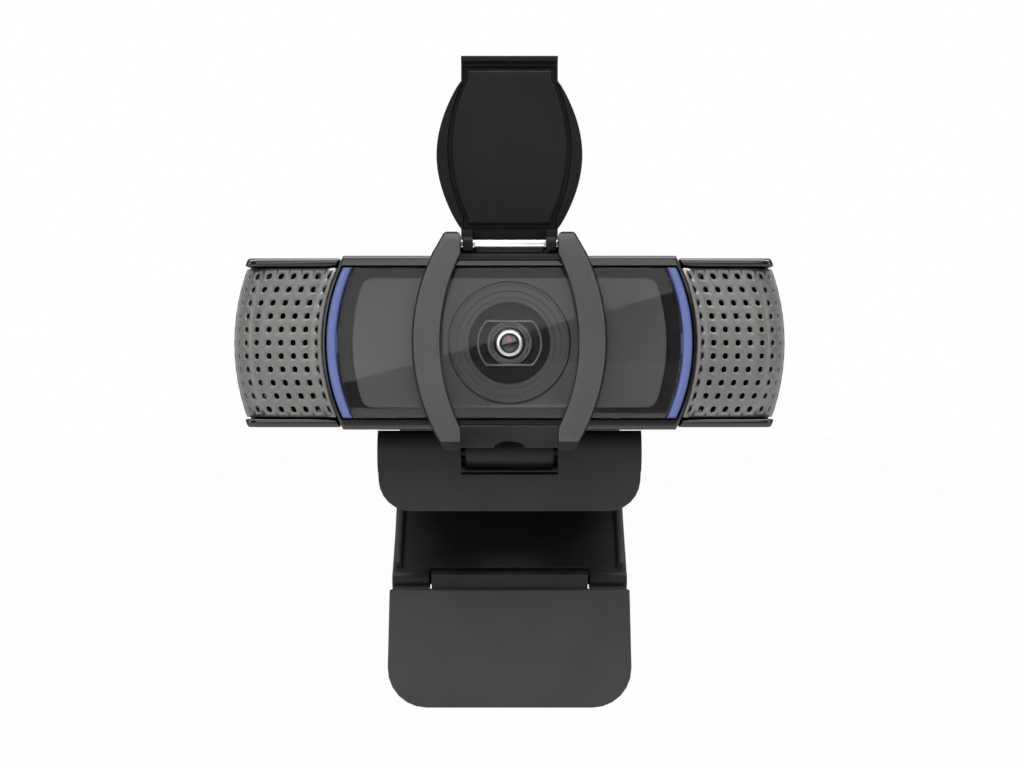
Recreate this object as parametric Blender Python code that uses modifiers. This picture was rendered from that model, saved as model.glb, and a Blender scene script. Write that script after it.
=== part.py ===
"""Webcam on a folding monitor clip, with a flip-up privacy shutter.

Frame: metres, +X to the right as seen from the front, +Y away from the viewer, +Z up. The origin is the middle of the
clip's seat, on the plane that rests on a monitor's top edge.

The head (housing, optics, microphones, shutter) tilts on the clip's front
barrel. The clip's arm folds on its rear barrel and carries the foot.
"""
import math

import bmesh
import bpy
from mathutils import Matrix

MM = 0.001
GAP = 0.3 * MM            # clearance between two pieces that touch

# ---------------------------------------------------------------- head
BODY_HALF_WIDTH = 47.0 * MM
BODY_HEIGHT = 29.3 * MM
BODY_BOTTOM = 7.5 * MM
BODY_FRONT = -22.0 * MM
BODY_REAR = 2.0 * MM
BODY_WALL = 1.8 * MM
END_ARC_R = 37.4 * MM     # bow of the two ends, seen from the front
REAR_EDGE_R = 8.0 * MM    # long rear edges
REAR_CORNER_R = 9.0 * MM  # upright rear corners
PARTING_Y = -8.0 * MM     # the rear housing starts here
END_DROP = 0.4 * MM       # the ends are this much lower than the centre
LENS_Z = BODY_BOTTOM + BODY_HEIGHT / 2

CENTRE_HALF = 31.7 * MM   # half width of the centre housing at mid height
CENTRE_ARC_R = 30.8 * MM
SIDE_RIM = 0.6 * MM
TOP_RIM = 1.65 * MM
FRONT_EDGE_R = 0.8 * MM

# ends and grilles
GRILLE_SET_BACK = 2.0 * MM
GRILLE_THICKNESS = 1.2 * MM
GRILLE_FLARE = 1.7 * MM    # its inner edge turns forward this far
END_CURVE_WIDTH = 4.4 * MM
END_CURVE_DEPTH = 6.6 * MM
TRIM_HEIGHT = 1.4 * MM
TRIM_SET_BACK = 1.4 * MM
RIB_WIDTH = 1.5 * MM
CAP_WALL_FRONT = -14.7 * MM
CAP_WALL = 1.0 * MM
MESH_THICKNESS = 0.3 * MM
MIC_R = 3.0 * MM
MIC_LENGTH = 1.5 * MM
MIC_BOOT_WALL = 0.8 * MM

# fascia stack, front to back
WINDOW_THICKNESS = 1.1 * MM
PANEL_THICKNESS = 1.0 * MM
MASK_THICKNESS = 0.8 * MM
LIGHT_WIDTH = 1.5 * MM
LIGHT_DEPTH = 4.4 * MM
PANEL_SIDE_MARGIN = 2.6 * MM   # clear window beyond the grey panel
PANEL_TOP_MARGIN = 2.15 * MM
PANEL_CORNER_R = 1.8 * MM
RING_RADII = (9.86 * MM, 8.88 * MM, 7.90 * MM, 6.92 * MM)
RING_STEP = 0.3 * MM
BEZEL_RIM = 0.25 * MM
BEZEL_BORE_R = 6.75 * MM

# optics
BAFFLE_HALF_WIDTH = 5.3 * MM
BAFFLE_HALF_HEIGHT = 3.9 * MM
BAFFLE_CHAMFER = 1.5 * MM
BAFFLE_THICKNESS = 0.5 * MM
FOCUS_TRAVEL = 0.4 * MM
BARREL_R = 3.9 * MM
BARREL_LENGTH = 6.9 * MM
BARREL_BORE_R = 2.7 * MM
LENS_RING_BORE_R = 1.6 * MM
HOLDER_HALF = 6.5 * MM
HOLDER_DEPTH = 5.3 * MM
HOLDER_CAVITY_HALF = 4.3 * MM
SENSOR_THICKNESS = 0.8 * MM
FILTER_THICKNESS = 0.5 * MM

# electronics
BOARD_FRONT = -7.6 * MM
BOARD_THICKNESS = 1.4 * MM
BOARD_END_MARGIN = 7.0 * MM
BOARD_WALL_GAP = 1.45 * MM   # above and below the board
BOARD_SCREW_MARGIN = 3.0 * MM
BOSS_R = 2.2 * MM
SCREW_R = 0.9 * MM
SCREW_HEAD_R = 1.8 * MM
GLAND_X = 24.0 * MM
GLAND_DROP = 5.0 * MM     # below the lens axis
GLAND_R = 2.7 * MM
GLAND_BORE_R = 1.7 * MM
GLAND_LENGTH = 6.0 * MM

# ------------------------------------------------------------- shutter
ARM_FRONT = -25.5 * MM
ARM_COVER = 0.6 * MM
ARM_MID_OUTER = 16.4 * MM
ARM_MID_INNER = 11.6 * MM
ARM_END_OUTER = 10.9 * MM
ARM_END_INNER = 8.15 * MM
ARM_OVER_TOP = 3.9 * MM      # arms rise this far above the body
ARM_UNDER_BOTTOM = 3.4 * MM
ARM_STRAIGHT = 3.6 * MM      # straight stretch at each end of an arm
BAR_THICKNESS = 1.1 * MM
BAR_SET_BACK = 1.6 * MM
HOOK_LENGTH = 6.0 * MM
NOTCH_HALF_WIDTH = 2.65 * MM
NOTCH_HEIGHT = 1.1 * MM
FLAP_PIN_R = 0.5 * MM
FLAP_KNUCKLE_R = 1.25 * MM
FLAP_KNUCKLE_INNER = 6.0 * MM
FLAP_AXIS_Y = ARM_FRONT + 2.0 * MM
FLAP_AXIS_OVER_BODY = 1.95 * MM
FLAP_OVER_ARMS = 0.3 * MM    # shut flap clears the arms by this
FLAP_THICKNESS = 1.2 * MM
FLAP_PANEL_RISE = 1.5 * MM
FLAP_OVER_BODY = 3.0 * MM    # the flap is this much longer than the body
FLAP_HALF_WIDTH = 12.3 * MM
FLAP_END_HALF = 8.15 * MM
FLAP_TAB = 4.1 * MM
FLAP_WAIST = 2.6 * MM
FLAP_RIM = 2.75 * MM

# ---------------------------------------------------------------- clip
SEAT_PAD_THICKNESS = 1.0 * MM
SEAT_PAD_HALF = 19.0 * MM
SEAT_PAD_FRONT = -6.0 * MM
SEAT_PAD_REAR = 33.0 * MM
BASE_THICKNESS = 2.1 * MM
BASE_HALF_FRONT = 22.6 * MM
BASE_HALF_REAR = 21.5 * MM
TILT_Y = -10.0 * MM
TILT_Z = 3.6 * MM
TILT_BARREL_R = 3.6 * MM
KNUCKLE_HALF = 8.0 * MM
TILT_PIN_R = 1.5 * MM
LIP_THICKNESS = 2.8 * MM
LIP_DROP = 6.5 * MM
LIP_HALF_BOTTOM = 22.1 * MM
LIP_CORNER_R = 5.4 * MM
LIP_PAD_THICKNESS = 0.8 * MM
INSERT_Y = 14.0 * MM
INSERT_R = 4.75 * MM
INSERT_BORE_R = 2.6 * MM
INSERT_BOTTOM = 0.5 * MM
INSERT_TOP = 7.0 * MM
INSERT_BOSS_WALL = 1.3 * MM

HINGE_Y = 42.0 * MM
HINGE_Z = 3.5 * MM
HINGE_R = 3.5 * MM
HINGE_INNER_HALF = 14.0 * MM
HINGE_PIN_R = 1.5 * MM
ARM_SLOPE = math.radians(33.0)
ARM_LENGTH = 35.0 * MM
ARM_NEAR = 4.0 * MM       # hinge axis to the arm plate's upper face
ARM_THICKNESS = 3.0 * MM
ARM_HALF_TOP = 20.75 * MM
ARM_HALF_FOOT = 21.2 * MM
RAIL_WIDTH = 1.2 * MM
RAIL_HEIGHT = 1.0 * MM
FOOT_BARREL_R = 1.7 * MM
FOOT_PIN_R = 0.8 * MM
FOOT_OFFSET = 2.0 * MM    # foot hinge axis to the foot plate's rear face
FOOT_PLATE = 1.3 * MM
FOOT_PAD = 0.8 * MM
FOOT_TOP_DROP = 1.4 * MM
FOOT_LENGTH = 21.2 * MM
FOOT_HALF_TOP = 21.5 * MM
FOOT_HALF_BOTTOM = 22.0 * MM
FOOT_CORNER_R = 7.0 * MM
FOOT_INSET = 0.4 * MM

TURN_SEGMENTS = 28

COLLECTION = bpy.data.collections.new("webcam_on_monitor_clip")


# ------------------------------------------------------------- helpers
def clear_scene():
    """Remove every object that the file starts with."""
    for obj in list(bpy.data.objects):
        bpy.data.objects.remove(obj, do_unlink=True)


def material(name, colour, roughness, metallic=0.0):
    """Return a Principled material of one colour."""
    mat = bpy.data.materials.new(name)
    mat.use_nodes = True
    shader = mat.node_tree.nodes["Principled BSDF"]
    shader.inputs["Base Color"].default_value = (*colour, 1.0)
    shader.inputs["Roughness"].default_value = roughness
    shader.inputs["Metallic"].default_value = metallic
    mat.diffuse_color = (*colour, 1.0)
    return mat


def add_object(name, mesh, matrix=None):
    """Link a mesh as an object of the webcam's collection."""
    obj = bpy.data.objects.new(name, mesh)
    if matrix is not None:
        obj.matrix_world = matrix
    COLLECTION.objects.link(obj)
    return obj


def mesh_from(bm, name):
    """Turn a bmesh into a mesh and free it."""
    mesh = bpy.data.meshes.new(name)
    bm.to_mesh(mesh)
    bm.free()
    return mesh


def evaluated_mesh(obj):
    """Return a copy of the object's mesh with its modifiers applied."""
    graph = bpy.context.evaluated_depsgraph_get()
    graph.update()
    return bpy.data.meshes.new_from_object(obj.evaluated_get(graph))


AXIS_TURN = {
    "X": Matrix(((0, 0, 1, 0), (1, 0, 0, 0), (0, 1, 0, 0), (0, 0, 0, 1))),
    "Y": Matrix(((1, 0, 0, 0), (0, 0, -1, 0), (0, 1, 0, 0), (0, 0, 0, 1))),
    "Z": Matrix.Identity(4),
}


def prism(name, loops, axis, low, high):
    """Extrude flat outlines along an axis, from low to high.

    Outline points are (y, z) for axis X, (x, z) for Y and (x, y) for Z.
    Every loop after the first is a hole.
    """
    curve = bpy.data.curves.new(name, "CURVE")
    curve.dimensions = "2D"
    curve.fill_mode = "BOTH"
    curve.extrude = (high - low) / 2
    for points in loops:
        spline = curve.splines.new("POLY")
        spline.points.add(len(points) - 1)
        for point, (a, b) in zip(spline.points, points):
            point.co = (a, b, 0.0, 1.0)
        spline.use_cyclic_u = True
    obj = add_object(name + "_outline", curve)
    bm = bmesh.new()
    bm.from_mesh(evaluated_mesh(obj))
    bpy.data.objects.remove(obj, do_unlink=True)
    bmesh.ops.remove_doubles(bm, verts=bm.verts, dist=0.001 * MM)
    middle = (low + high) / 2
    shift = {"X": (middle, 0, 0), "Y": (0, middle, 0), "Z": (0, 0, middle)}
    matrix = Matrix.Translation(shift[axis]) @ AXIS_TURN[axis]
    bmesh.ops.transform(bm, matrix=matrix, verts=bm.verts)
    bmesh.ops.recalc_face_normals(bm, faces=bm.faces)
    return add_object(name, mesh_from(bm, name))


def box(name, low, high):
    """Make a box between two corners."""
    bm = bmesh.new()
    bmesh.ops.create_cube(bm, size=1.0)
    size = [b - a for a, b in zip(low, high)]
    centre = [(a + b) / 2 for a, b in zip(low, high)]
    bmesh.ops.scale(bm, vec=size, verts=bm.verts)
    bmesh.ops.translate(bm, vec=centre, verts=bm.verts)
    return add_object(name, mesh_from(bm, name))


def rod(name, radius, axis, low, high, at, segments=TURN_SEGMENTS):
    """Make a cylinder along an axis; at is the (a, b) place of the axis."""
    bm = bmesh.new()
    bmesh.ops.create_cone(bm, cap_ends=True, segments=segments, radius1=radius,
                          radius2=radius, depth=high - low)
    middle = (low + high) / 2
    a, b = at
    shift = {"X": (middle, a, b), "Y": (a, middle, b), "Z": (a, b, middle)}
    matrix = Matrix.Translation(shift[axis]) @ AXIS_TURN[axis]
    bmesh.ops.transform(bm, matrix=matrix, verts=bm.verts)
    return add_object(name, mesh_from(bm, name))


def turned(name, profile, x, z, segments=TURN_SEGMENTS):
    """Turn a closed (radius, y) profile about an axis along Y.

    The profile runs down its outer side first, as Screw expects.
    """
    bm = bmesh.new()
    verts = [bm.verts.new((radius, 0.0, -y)) for radius, y in profile]
    for first, second in zip(verts, verts[1:] + verts[:1]):
        if first.co.x > 0 or second.co.x > 0:
            bm.edges.new((first, second))
    obj = add_object(name + "_profile", mesh_from(bm, name))
    screw = obj.modifiers.new("Turn", "SCREW")
    screw.steps = segments
    screw.render_steps = segments
    screw.use_merge_vertices = True
    screw.merge_threshold = 0.001 * MM
    bm = bmesh.new()
    bm.from_mesh(evaluated_mesh(obj))
    bpy.data.objects.remove(obj, do_unlink=True)
    bmesh.ops.remove_doubles(bm, verts=bm.verts, dist=0.001 * MM)
    matrix = Matrix.Translation((x, 0.0, z)) @ Matrix.Rotation(math.pi / 2, 4, "X")
    bmesh.ops.transform(bm, matrix=matrix, verts=bm.verts)
    bmesh.ops.recalc_face_normals(bm, faces=bm.faces)
    return add_object(name, mesh_from(bm, name))


def combine(obj, tool, operation):
    """Apply a Boolean of the tool to the object and remove the tool."""
    boolean = obj.modifiers.new(operation.title(), "BOOLEAN")
    boolean.operation = operation
    boolean.object = tool
    mesh = evaluated_mesh(obj)
    obj.modifiers.clear()
    obj.data = mesh
    bpy.data.objects.remove(tool, do_unlink=True)
    bm = bmesh.new()
    bm.from_mesh(mesh)
    bmesh.ops.remove_doubles(bm, verts=bm.verts, dist=0.001 * MM)
    bmesh.ops.dissolve_limit(bm, angle_limit=math.radians(0.5), verts=bm.verts,
                             edges=bm.edges)
    bm.to_mesh(mesh)
    bm.free()
    return obj


def cut(obj, tool):
    """Cut the tool out of the object."""
    return combine(obj, tool, "DIFFERENCE")


def join(obj, tool):
    """Join the tool to the object as one solid."""
    return combine(obj, tool, "UNION")


def keep(obj, tool):
    """Keep only what the object shares with the tool."""
    return combine(obj, tool, "INTERSECT")


def bevel_where(obj, test, width, segments=2):
    """Round the sharp edges whose two ends both pass the test."""
    bm = bmesh.new()
    bm.from_mesh(obj.data)
    sharp = math.radians(35.0)
    edges = [edge for edge in bm.edges
             if len(edge.link_faces) == 2 and edge.calc_face_angle(0.0) > sharp
             and all(test(vert.co) for vert in edge.verts)]
    bmesh.ops.bevel(bm, geom=edges, offset=width, segments=segments,
                    profile=0.5, affect="EDGES", clamp_overlap=True)
    bm.to_mesh(obj.data)
    bm.free()
    return obj


def fillet(points, radius, steps=4, only=None):
    """Round the sharp corners of a closed outline, or only those that pass."""
    count = len(points)

    def inner_angle(i):
        (ax, ay), (px, py), (bx, by) = points[i - 1], points[i], points[(i + 1) % count]
        turn = math.atan2(by - py, bx - px) - math.atan2(ay - py, ax - px)
        return abs((turn + math.pi) % (2 * math.pi) - math.pi)

    rounded = [math.pi - inner_angle(i) > math.radians(40)
               and (only is None or only(points[i])) for i in range(count)]
    result = []
    for i, (px, py) in enumerate(points):
        if not rounded[i]:
            result.append((px, py))
            continue
        after = (i + 1) % count
        ux, uy = points[i - 1][0] - px, points[i - 1][1] - py
        vx, vy = points[after][0] - px, points[after][1] - py
        ul, vl = math.hypot(ux, uy), math.hypot(vx, vy)
        inner = inner_angle(i)
        reach = min(radius / math.tan(inner / 2), ul * (0.49 if rounded[i - 1] else 0.98),
                    vl * (0.49 if rounded[after] else 0.98))
        real = reach * math.tan(inner / 2)
        bis = (ux / ul + vx / vl, uy / ul + vy / vl)
        away = real / math.sin(inner / 2) / math.hypot(*bis)
        cx, cy = px + bis[0] * away, py + bis[1] * away
        start = math.atan2(py + uy / ul * reach - cy, px + ux / ul * reach - cx)
        end = math.atan2(py + vy / vl * reach - cy, px + vx / vl * reach - cx)
        turn = (end - start + math.pi) % (2 * math.pi) - math.pi
        for k in range(steps + 1):
            angle = start + turn * k / steps
            result.append((cx + real * math.cos(angle), cy + real * math.sin(angle)))
    return result


def bow(x_mid, height, radius):
    """Return the x of a side bowed on a radius, at a height off the axis."""
    return x_mid - radius + math.sqrt(radius * radius - height * height)


def bowed_edge(x_mid, radius, half_height, steps=8):
    """Return (x, z) points up a bowed side, about the lens axis."""
    heights = [half_height * (2 * k / steps - 1) for k in range(steps + 1)]
    return [(bow(x_mid, h, radius), LENS_Z + h) for h in heights]


def mirrored(points):
    """Return the points of the other side, in reverse order."""
    return [(-x, z) for x, z in reversed(points)]


def bowed_outline(x_mid, radius, half_height, steps=8):
    """Return an outline with flat top and bottom and two bowed sides."""
    right = bowed_edge(x_mid, radius, half_height, steps)
    return right + mirrored(right)


def disc(radius, centre=(0.0, LENS_Z), segments=TURN_SEGMENTS):
    """Return a round outline."""
    angles = [2 * math.pi * k / segments for k in range(segments)]
    return [(centre[0] + radius * math.cos(a), centre[1] + radius * math.sin(a))
            for a in angles]


def rectangle(x0, y0, x1, y1):
    """Return a rectangular outline."""
    return [(x0, y0), (x1, y0), (x1, y1), (x0, y1)]


def mirror_copy(obj, name):
    """Make the piece of the other side, mirrored through X = 0."""
    bm = bmesh.new()
    bm.from_mesh(obj.data)
    bmesh.ops.scale(bm, vec=(-1, 1, 1), verts=bm.verts)
    bmesh.ops.reverse_faces(bm, faces=bm.faces)
    return add_object(name, mesh_from(bm, name))


def finish(obj, look, smooth=True):
    """Give the piece its own material and shading."""
    colour, roughness, metallic = look
    obj.data.materials.clear()
    obj.data.materials.append(material(obj.name, colour, roughness, metallic))
    if smooth:
        obj.data.shade_smooth()
        obj.data.set_sharp_from_angle(angle=math.radians(32))
    return obj


def set_origin(obj, point):
    """Move the object's origin to a point and leave its shape where it is."""
    obj.data.transform(Matrix.Translation([-c for c in point]))
    obj.location = point


GLOSS_BLACK = ((0.012, 0.012, 0.013), 0.15, 0.0)
MATTE_BLACK = ((0.018, 0.018, 0.018), 0.5, 0.0)
SOFT_BLACK = ((0.030, 0.028, 0.028), 0.6, 0.0)
ARM_GREY = ((0.09, 0.09, 0.09), 0.5, 0.0)
PANEL_GREY = ((0.10, 0.10, 0.10), 0.45, 0.0)
PAINTED_MESH = ((0.07, 0.068, 0.066), 0.4, 0.4)
CLEAR = ((0.8, 0.8, 0.8), 0.03, 0.0)
BLUE_LIGHT = ((0.11, 0.17, 0.48), 0.35, 0.0)
STEEL = ((0.55, 0.55, 0.56), 0.25, 1.0)
BRASS = ((0.72, 0.50, 0.20), 0.3, 1.0)
RUBBER = ((0.022, 0.022, 0.022), 0.8, 0.0)
CIRCUIT = ((0.02, 0.10, 0.05), 0.45, 0.0)
CHIP = ((0.015, 0.015, 0.015), 0.4, 0.0)
FELT = ((0.02, 0.02, 0.02), 0.95, 0.0)
LENS_GLASS = ((0.05, 0.05, 0.07), 0.02, 0.0)


# --------------------------------------------------------- head: shells
HALF_HEIGHT = BODY_HEIGHT / 2
END_HALF = HALF_HEIGHT - END_DROP
OPENING_HALF = HALF_HEIGHT - TOP_RIM
BOARD_HALF_HEIGHT = END_HALF - BODY_WALL - BOARD_WALL_GAP
FLAP_LENGTH = BODY_HEIGHT + FLAP_OVER_BODY
CENTRE_REAR = PARTING_Y - GAP
CAP_INNER = CENTRE_HALF + GAP
TRIM_INNER = END_HALF - TRIM_HEIGHT
GRILLE_Y = BODY_FRONT + GRILLE_SET_BACK
GRILLE_BACK = GRILLE_Y + GRILLE_THICKNESS


def rear_shape(name, inset, front):
    """Return the rear housing's outer form, inset evenly, from a front plane."""
    half = END_HALF - inset
    width = BODY_HALF_WIDTH - inset
    rear = BODY_REAR - inset
    side = [(front, LENS_Z - half), (rear, LENS_Z - half),
            (rear, LENS_Z + half), (front, LENS_Z + half)]
    side = fillet(side, REAR_EDGE_R - inset, 6, lambda p: p[0] == rear)
    plan = [(-width, front), (width, front), (width, rear), (-width, rear)]
    plan = fillet(plan, REAR_CORNER_R - inset, 6, lambda p: p[1] == rear)
    shape = prism(name, [side], "X", -width - MM, width + MM)
    keep(shape, prism("plan", [plan], "Z", LENS_Z - half - MM, LENS_Z + half + MM))
    ends = bowed_outline(width, END_ARC_R - inset, half)
    return keep(shape, prism("ends", [ends], "Y", front - MM, rear + MM))


def board_screw_places():
    """Return the (x, z) of the four board screws."""
    x = BODY_HALF_WIDTH - BOARD_END_MARGIN - BOARD_SCREW_MARGIN
    h = BOARD_HALF_HEIGHT - BOARD_SCREW_MARGIN
    return [(sx * x, LENS_Z + sz * h) for sx in (-1, 1) for sz in (-1, 1)]


def make_rear_housing():
    """Make the matte rear shell, its bosses, vents and cable hole."""
    shell = rear_shape("rear_housing", 0.0, PARTING_Y)
    cut(shell, rear_shape("cavity", BODY_WALL, PARTING_Y - MM))
    wall = BODY_REAR - BODY_WALL
    boss_front = BOARD_FRONT + BOARD_THICKNESS + GAP
    for x, z in board_screw_places():
        join(shell, rod("boss", BOSS_R, "Y", boss_front, wall + BODY_WALL / 2,
                        (x, z), 16))
        cut(shell, rod("pilot", SCREW_R + GAP, "Y", boss_front - MM, wall - GAP,
                       (x, z), 12))
    hole = (GLAND_X, LENS_Z - GLAND_DROP)
    cut(shell, rod("cable_hole", GLAND_R + GAP, "Y", wall - MM, BODY_REAR + MM,
                   hole, 20))
    for row in range(5):
        z = LENS_Z + (row - 2) * 2.4 * MM
        slot = fillet(rectangle(-22 * MM, z - 0.6 * MM, -6 * MM, z + 0.6 * MM),
                      0.59 * MM, 2)
        cut(shell, prism("vent", [slot], "Y", wall - MM, BODY_REAR + MM))
    return finish(shell, MATTE_BLACK)


def make_front_housing():
    """Make the glossy centre frame with the tilt knuckle under it."""
    outer = bowed_outline(CENTRE_HALF, CENTRE_ARC_R, HALF_HEIGHT)
    opening = bowed_outline(CENTRE_HALF - SIDE_RIM, CENTRE_ARC_R, OPENING_HALF)
    frame = prism("front_housing", [outer, opening], "Y", BODY_FRONT, CENTRE_REAR)
    front = BODY_FRONT + 0.1 * MM
    bevel_where(frame, lambda co: co.y < front and
                abs(co.z - LENS_Z) > OPENING_HALF + TOP_RIM / 2, FRONT_EDGE_R)
    radius = TILT_BARREL_R - GAP
    knuckle = rod("knuckle", radius, "X", -KNUCKLE_HALF, KNUCKLE_HALF,
                  (TILT_Y, TILT_Z))
    web = box("web", (-KNUCKLE_HALF, TILT_Y - 2.4 * MM, TILT_Z),
              (KNUCKLE_HALF, CENTRE_REAR - GAP, BODY_BOTTOM + TOP_RIM / 2))
    join(knuckle, web)
    join(frame, knuckle)
    cut(frame, rod("pin_bore", TILT_PIN_R + GAP, "X", -KNUCKLE_HALF - MM,
                   KNUCKLE_HALF + MM, (TILT_Y, TILT_Z), 20))
    return finish(frame, GLOSS_BLACK)


def end_curve(steps):
    """Return the plan curve from a grille's flat face round to the body's side."""
    x0 = BODY_HALF_WIDTH - END_CURVE_WIDTH
    points = []
    for k in range(steps + 1):
        angle = math.pi / 2 * k / steps
        points.append((x0 + END_CURVE_WIDTH * math.sin(angle),
                       GRILLE_Y + END_CURVE_DEPTH * (1 - math.cos(angle))))
    return points


def make_end_cap():
    """Make the right-hand end cap: two glossy trims, a rib and a mic wall."""
    inner = bowed_edge(CAP_INNER, CENTRE_ARC_R, END_HALF)
    outer = bowed_edge(BODY_HALF_WIDTH, END_ARC_R, END_HALF)
    front = BODY_FRONT + TRIM_SET_BACK
    cap = prism("end_cap_right", [outer + list(reversed(inner))], "Y", front,
                CENTRE_REAR)
    lift = front - GRILLE_Y
    plan = [(CAP_INNER / 2, 0.0), (CAP_INNER / 2, front)]
    plan += [(x, y + lift * (1 - k / 6)) for k, (x, y) in enumerate(end_curve(6))]
    plan += [(BODY_HALF_WIDTH, 0.0)]
    keep(cap, prism("plan", [plan], "Z", LENS_Z - HALF_HEIGHT, LENS_Z + HALF_HEIGHT))
    bevel_where(cap, lambda co: co.y < CENTRE_REAR - MM and
                abs(co.z - LENS_Z) > END_HALF - 0.1 * MM, 0.6 * MM)
    far = 2 * BODY_HALF_WIDTH
    low, high = LENS_Z - TRIM_INNER, LENS_Z + TRIM_INNER
    rib = CAP_INNER + RIB_WIDTH
    ledge = GRILLE_BACK + 2 * GAP + 0.1 * MM
    cut(cap, box("grille_seat", (0, 2 * BODY_FRONT, low), (far, ledge, high)))
    cut(cap, box("mic_bay", (rib, 2 * BODY_FRONT, low), (far, CAP_WALL_FRONT, high)))
    cut(cap, box("rear_bay", (rib, CAP_WALL_FRONT + CAP_WALL, low), (far, 0, high)))
    side = BODY_HALF_WIDTH - GRILLE_THICKNESS - GAP
    wrap = bowed_edge(side, END_ARC_R, TRIM_INNER)
    cut(cap, prism("wrap", [wrap + [(far, high), (far, low)]], "Y",
                   2 * BODY_FRONT, 0))
    return finish(cap, GLOSS_BLACK)


def make_grille():
    """Make the right-hand grille, a bent sheet that wraps round the end."""
    inner = CAP_INNER
    flat_end = BODY_HALF_WIDTH - END_CURVE_WIDTH
    flare = ((0.0, 1.0), (0.35, 0.62), (0.9, 0.3), (1.8, 0.1), (3.4, 0.0))
    path = [(inner + run * MM, GRILLE_Y - rise * GRILLE_FLARE)
            for run, rise in flare]
    path += end_curve(6)
    path += [(BODY_HALF_WIDTH, CENTRE_REAR)]
    half = TRIM_INNER - GAP
    rows = 8
    bm = bmesh.new()
    bmesh.ops.create_grid(bm, x_segments=len(path) - 1, y_segments=rows, size=1.0)
    for vert in bm.verts:
        column = round((vert.co.x + 1) / 2 * (len(path) - 1))
        height = half * vert.co.y
        x, y = path[column]
        share = min(1.0, (x - inner) / (flat_end - inner))
        radius = CENTRE_ARC_R + (END_ARC_R - CENTRE_ARC_R) * share
        vert.co = (bow(x, height, radius), y, LENS_Z + height)
    bmesh.ops.recalc_face_normals(bm, faces=bm.faces)
    if bm.faces[:][0].normal.y > 0:
        bmesh.ops.reverse_faces(bm, faces=bm.faces)
    grille = add_object("grille_right", mesh_from(bm, "grille_right"))
    sheet = grille.modifiers.new("Sheet", "SOLIDIFY")
    sheet.thickness = GRILLE_THICKNESS
    sheet.offset = -1.0
    sheet.use_even_offset = True
    grille.data = evaluated_mesh(grille)
    grille.modifiers.clear()
    for vert in grille.data.vertices:
        edge = bow(inner, vert.co.z - LENS_Z, CENTRE_ARC_R)
        vert.co.x = max(vert.co.x, edge)
    return finish(grille, PAINTED_MESH)


def make_mic_set():
    """Make the cloth, rubber boot and microphone of the right-hand end."""
    flat_end = BODY_HALF_WIDTH - END_CURVE_WIDTH
    left = CAP_INNER + RIB_WIDTH + GAP
    half = TRIM_INNER - MM
    right = bow(flat_end, half, END_ARC_R) - GAP
    front = GRILLE_BACK + GAP
    back = front + MESH_THICKNESS
    cloth = box("acoustic_mesh_right", (left, front, LENS_Z - half),
                (right, back, LENS_Z + half))
    finish(cloth, FELT, smooth=False)
    place = (left + MIC_R + GAP + MIC_BOOT_WALL, LENS_Z)
    boot_front, boot_back = back + GAP, CAP_WALL_FRONT - GAP
    boot = rod("mic_boot_right", MIC_R + GAP + MIC_BOOT_WALL, "Y", boot_front,
               boot_back, place, 20)
    mic_back = boot_front + GAP + MIC_LENGTH
    cut(boot, rod("mic_bore", MIC_R + GAP, "Y", boot_front - MM, mic_back + GAP,
                  place, 20))
    finish(boot, RUBBER)
    mic = rod("microphone_right", MIC_R, "Y", boot_front + GAP, mic_back, place, 20)
    finish(mic, STEEL)
    return cloth, boot, mic


# --------------------------------------------------------- head: fascia
WINDOW_FRONT = BODY_FRONT + GAP
WINDOW_BACK = WINDOW_FRONT + WINDOW_THICKNESS
PANEL_FRONT = WINDOW_BACK + GAP
PANEL_BACK = PANEL_FRONT + PANEL_THICKNESS
MASK_FRONT = PANEL_BACK + GAP
MASK_BACK = MASK_FRONT + MASK_THICKNESS
INSERT_HALF = OPENING_HALF - GAP
LIGHT_OUTER = CENTRE_HALF - SIDE_RIM - GAP
LIGHT_INNER = LIGHT_OUTER - LIGHT_WIDTH
INSERT_MID = LIGHT_INNER - GAP
PANEL_HALF_WIDTH = INSERT_MID - PANEL_SIDE_MARGIN
PANEL_HALF_HEIGHT = OPENING_HALF - PANEL_TOP_MARGIN
BEZEL_R = RING_RADII[0] + BEZEL_RIM


def make_fascia():
    """Make the clear window, grey panel and black mask, front to back."""
    outline = bowed_outline(INSERT_MID, CENTRE_ARC_R, INSERT_HALF)
    window = prism("front_window", [outline], "Y", WINDOW_FRONT, WINDOW_BACK)
    finish(window, CLEAR)
    hole = disc(BEZEL_R + GAP)
    grey = fillet(bowed_outline(PANEL_HALF_WIDTH, CENTRE_ARC_R, PANEL_HALF_HEIGHT),
                  PANEL_CORNER_R, 3)
    panel = prism("bezel_panel", [grey, hole], "Y", PANEL_FRONT, PANEL_BACK)
    finish(panel, PANEL_GREY)
    mask = prism("mask_plate", [outline, hole], "Y", MASK_FRONT, MASK_BACK)
    finish(mask, GLOSS_BLACK)


def make_lens_bezel():
    """Make the stepped rings around the lens."""
    y = PANEL_FRONT
    profile = [(BEZEL_R, y), (RING_RADII[0], y)]
    for outer, inner in zip(RING_RADII, RING_RADII[1:] + (BEZEL_BORE_R,)):
        y += RING_STEP
        profile.append((outer, y))
        y += 0.1 * MM
        profile.append((inner, y))
    back = MASK_BACK + 3 * GAP
    front_half = profile
    rear_half = [(BEZEL_BORE_R, back), (BEZEL_BORE_R + 1.4 * MM, back),
                 (BEZEL_R, MASK_FRONT + GAP)]
    finish(turned("lens_bezel", front_half + rear_half, 0.0, LENS_Z), PANEL_GREY)
    return back


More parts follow.
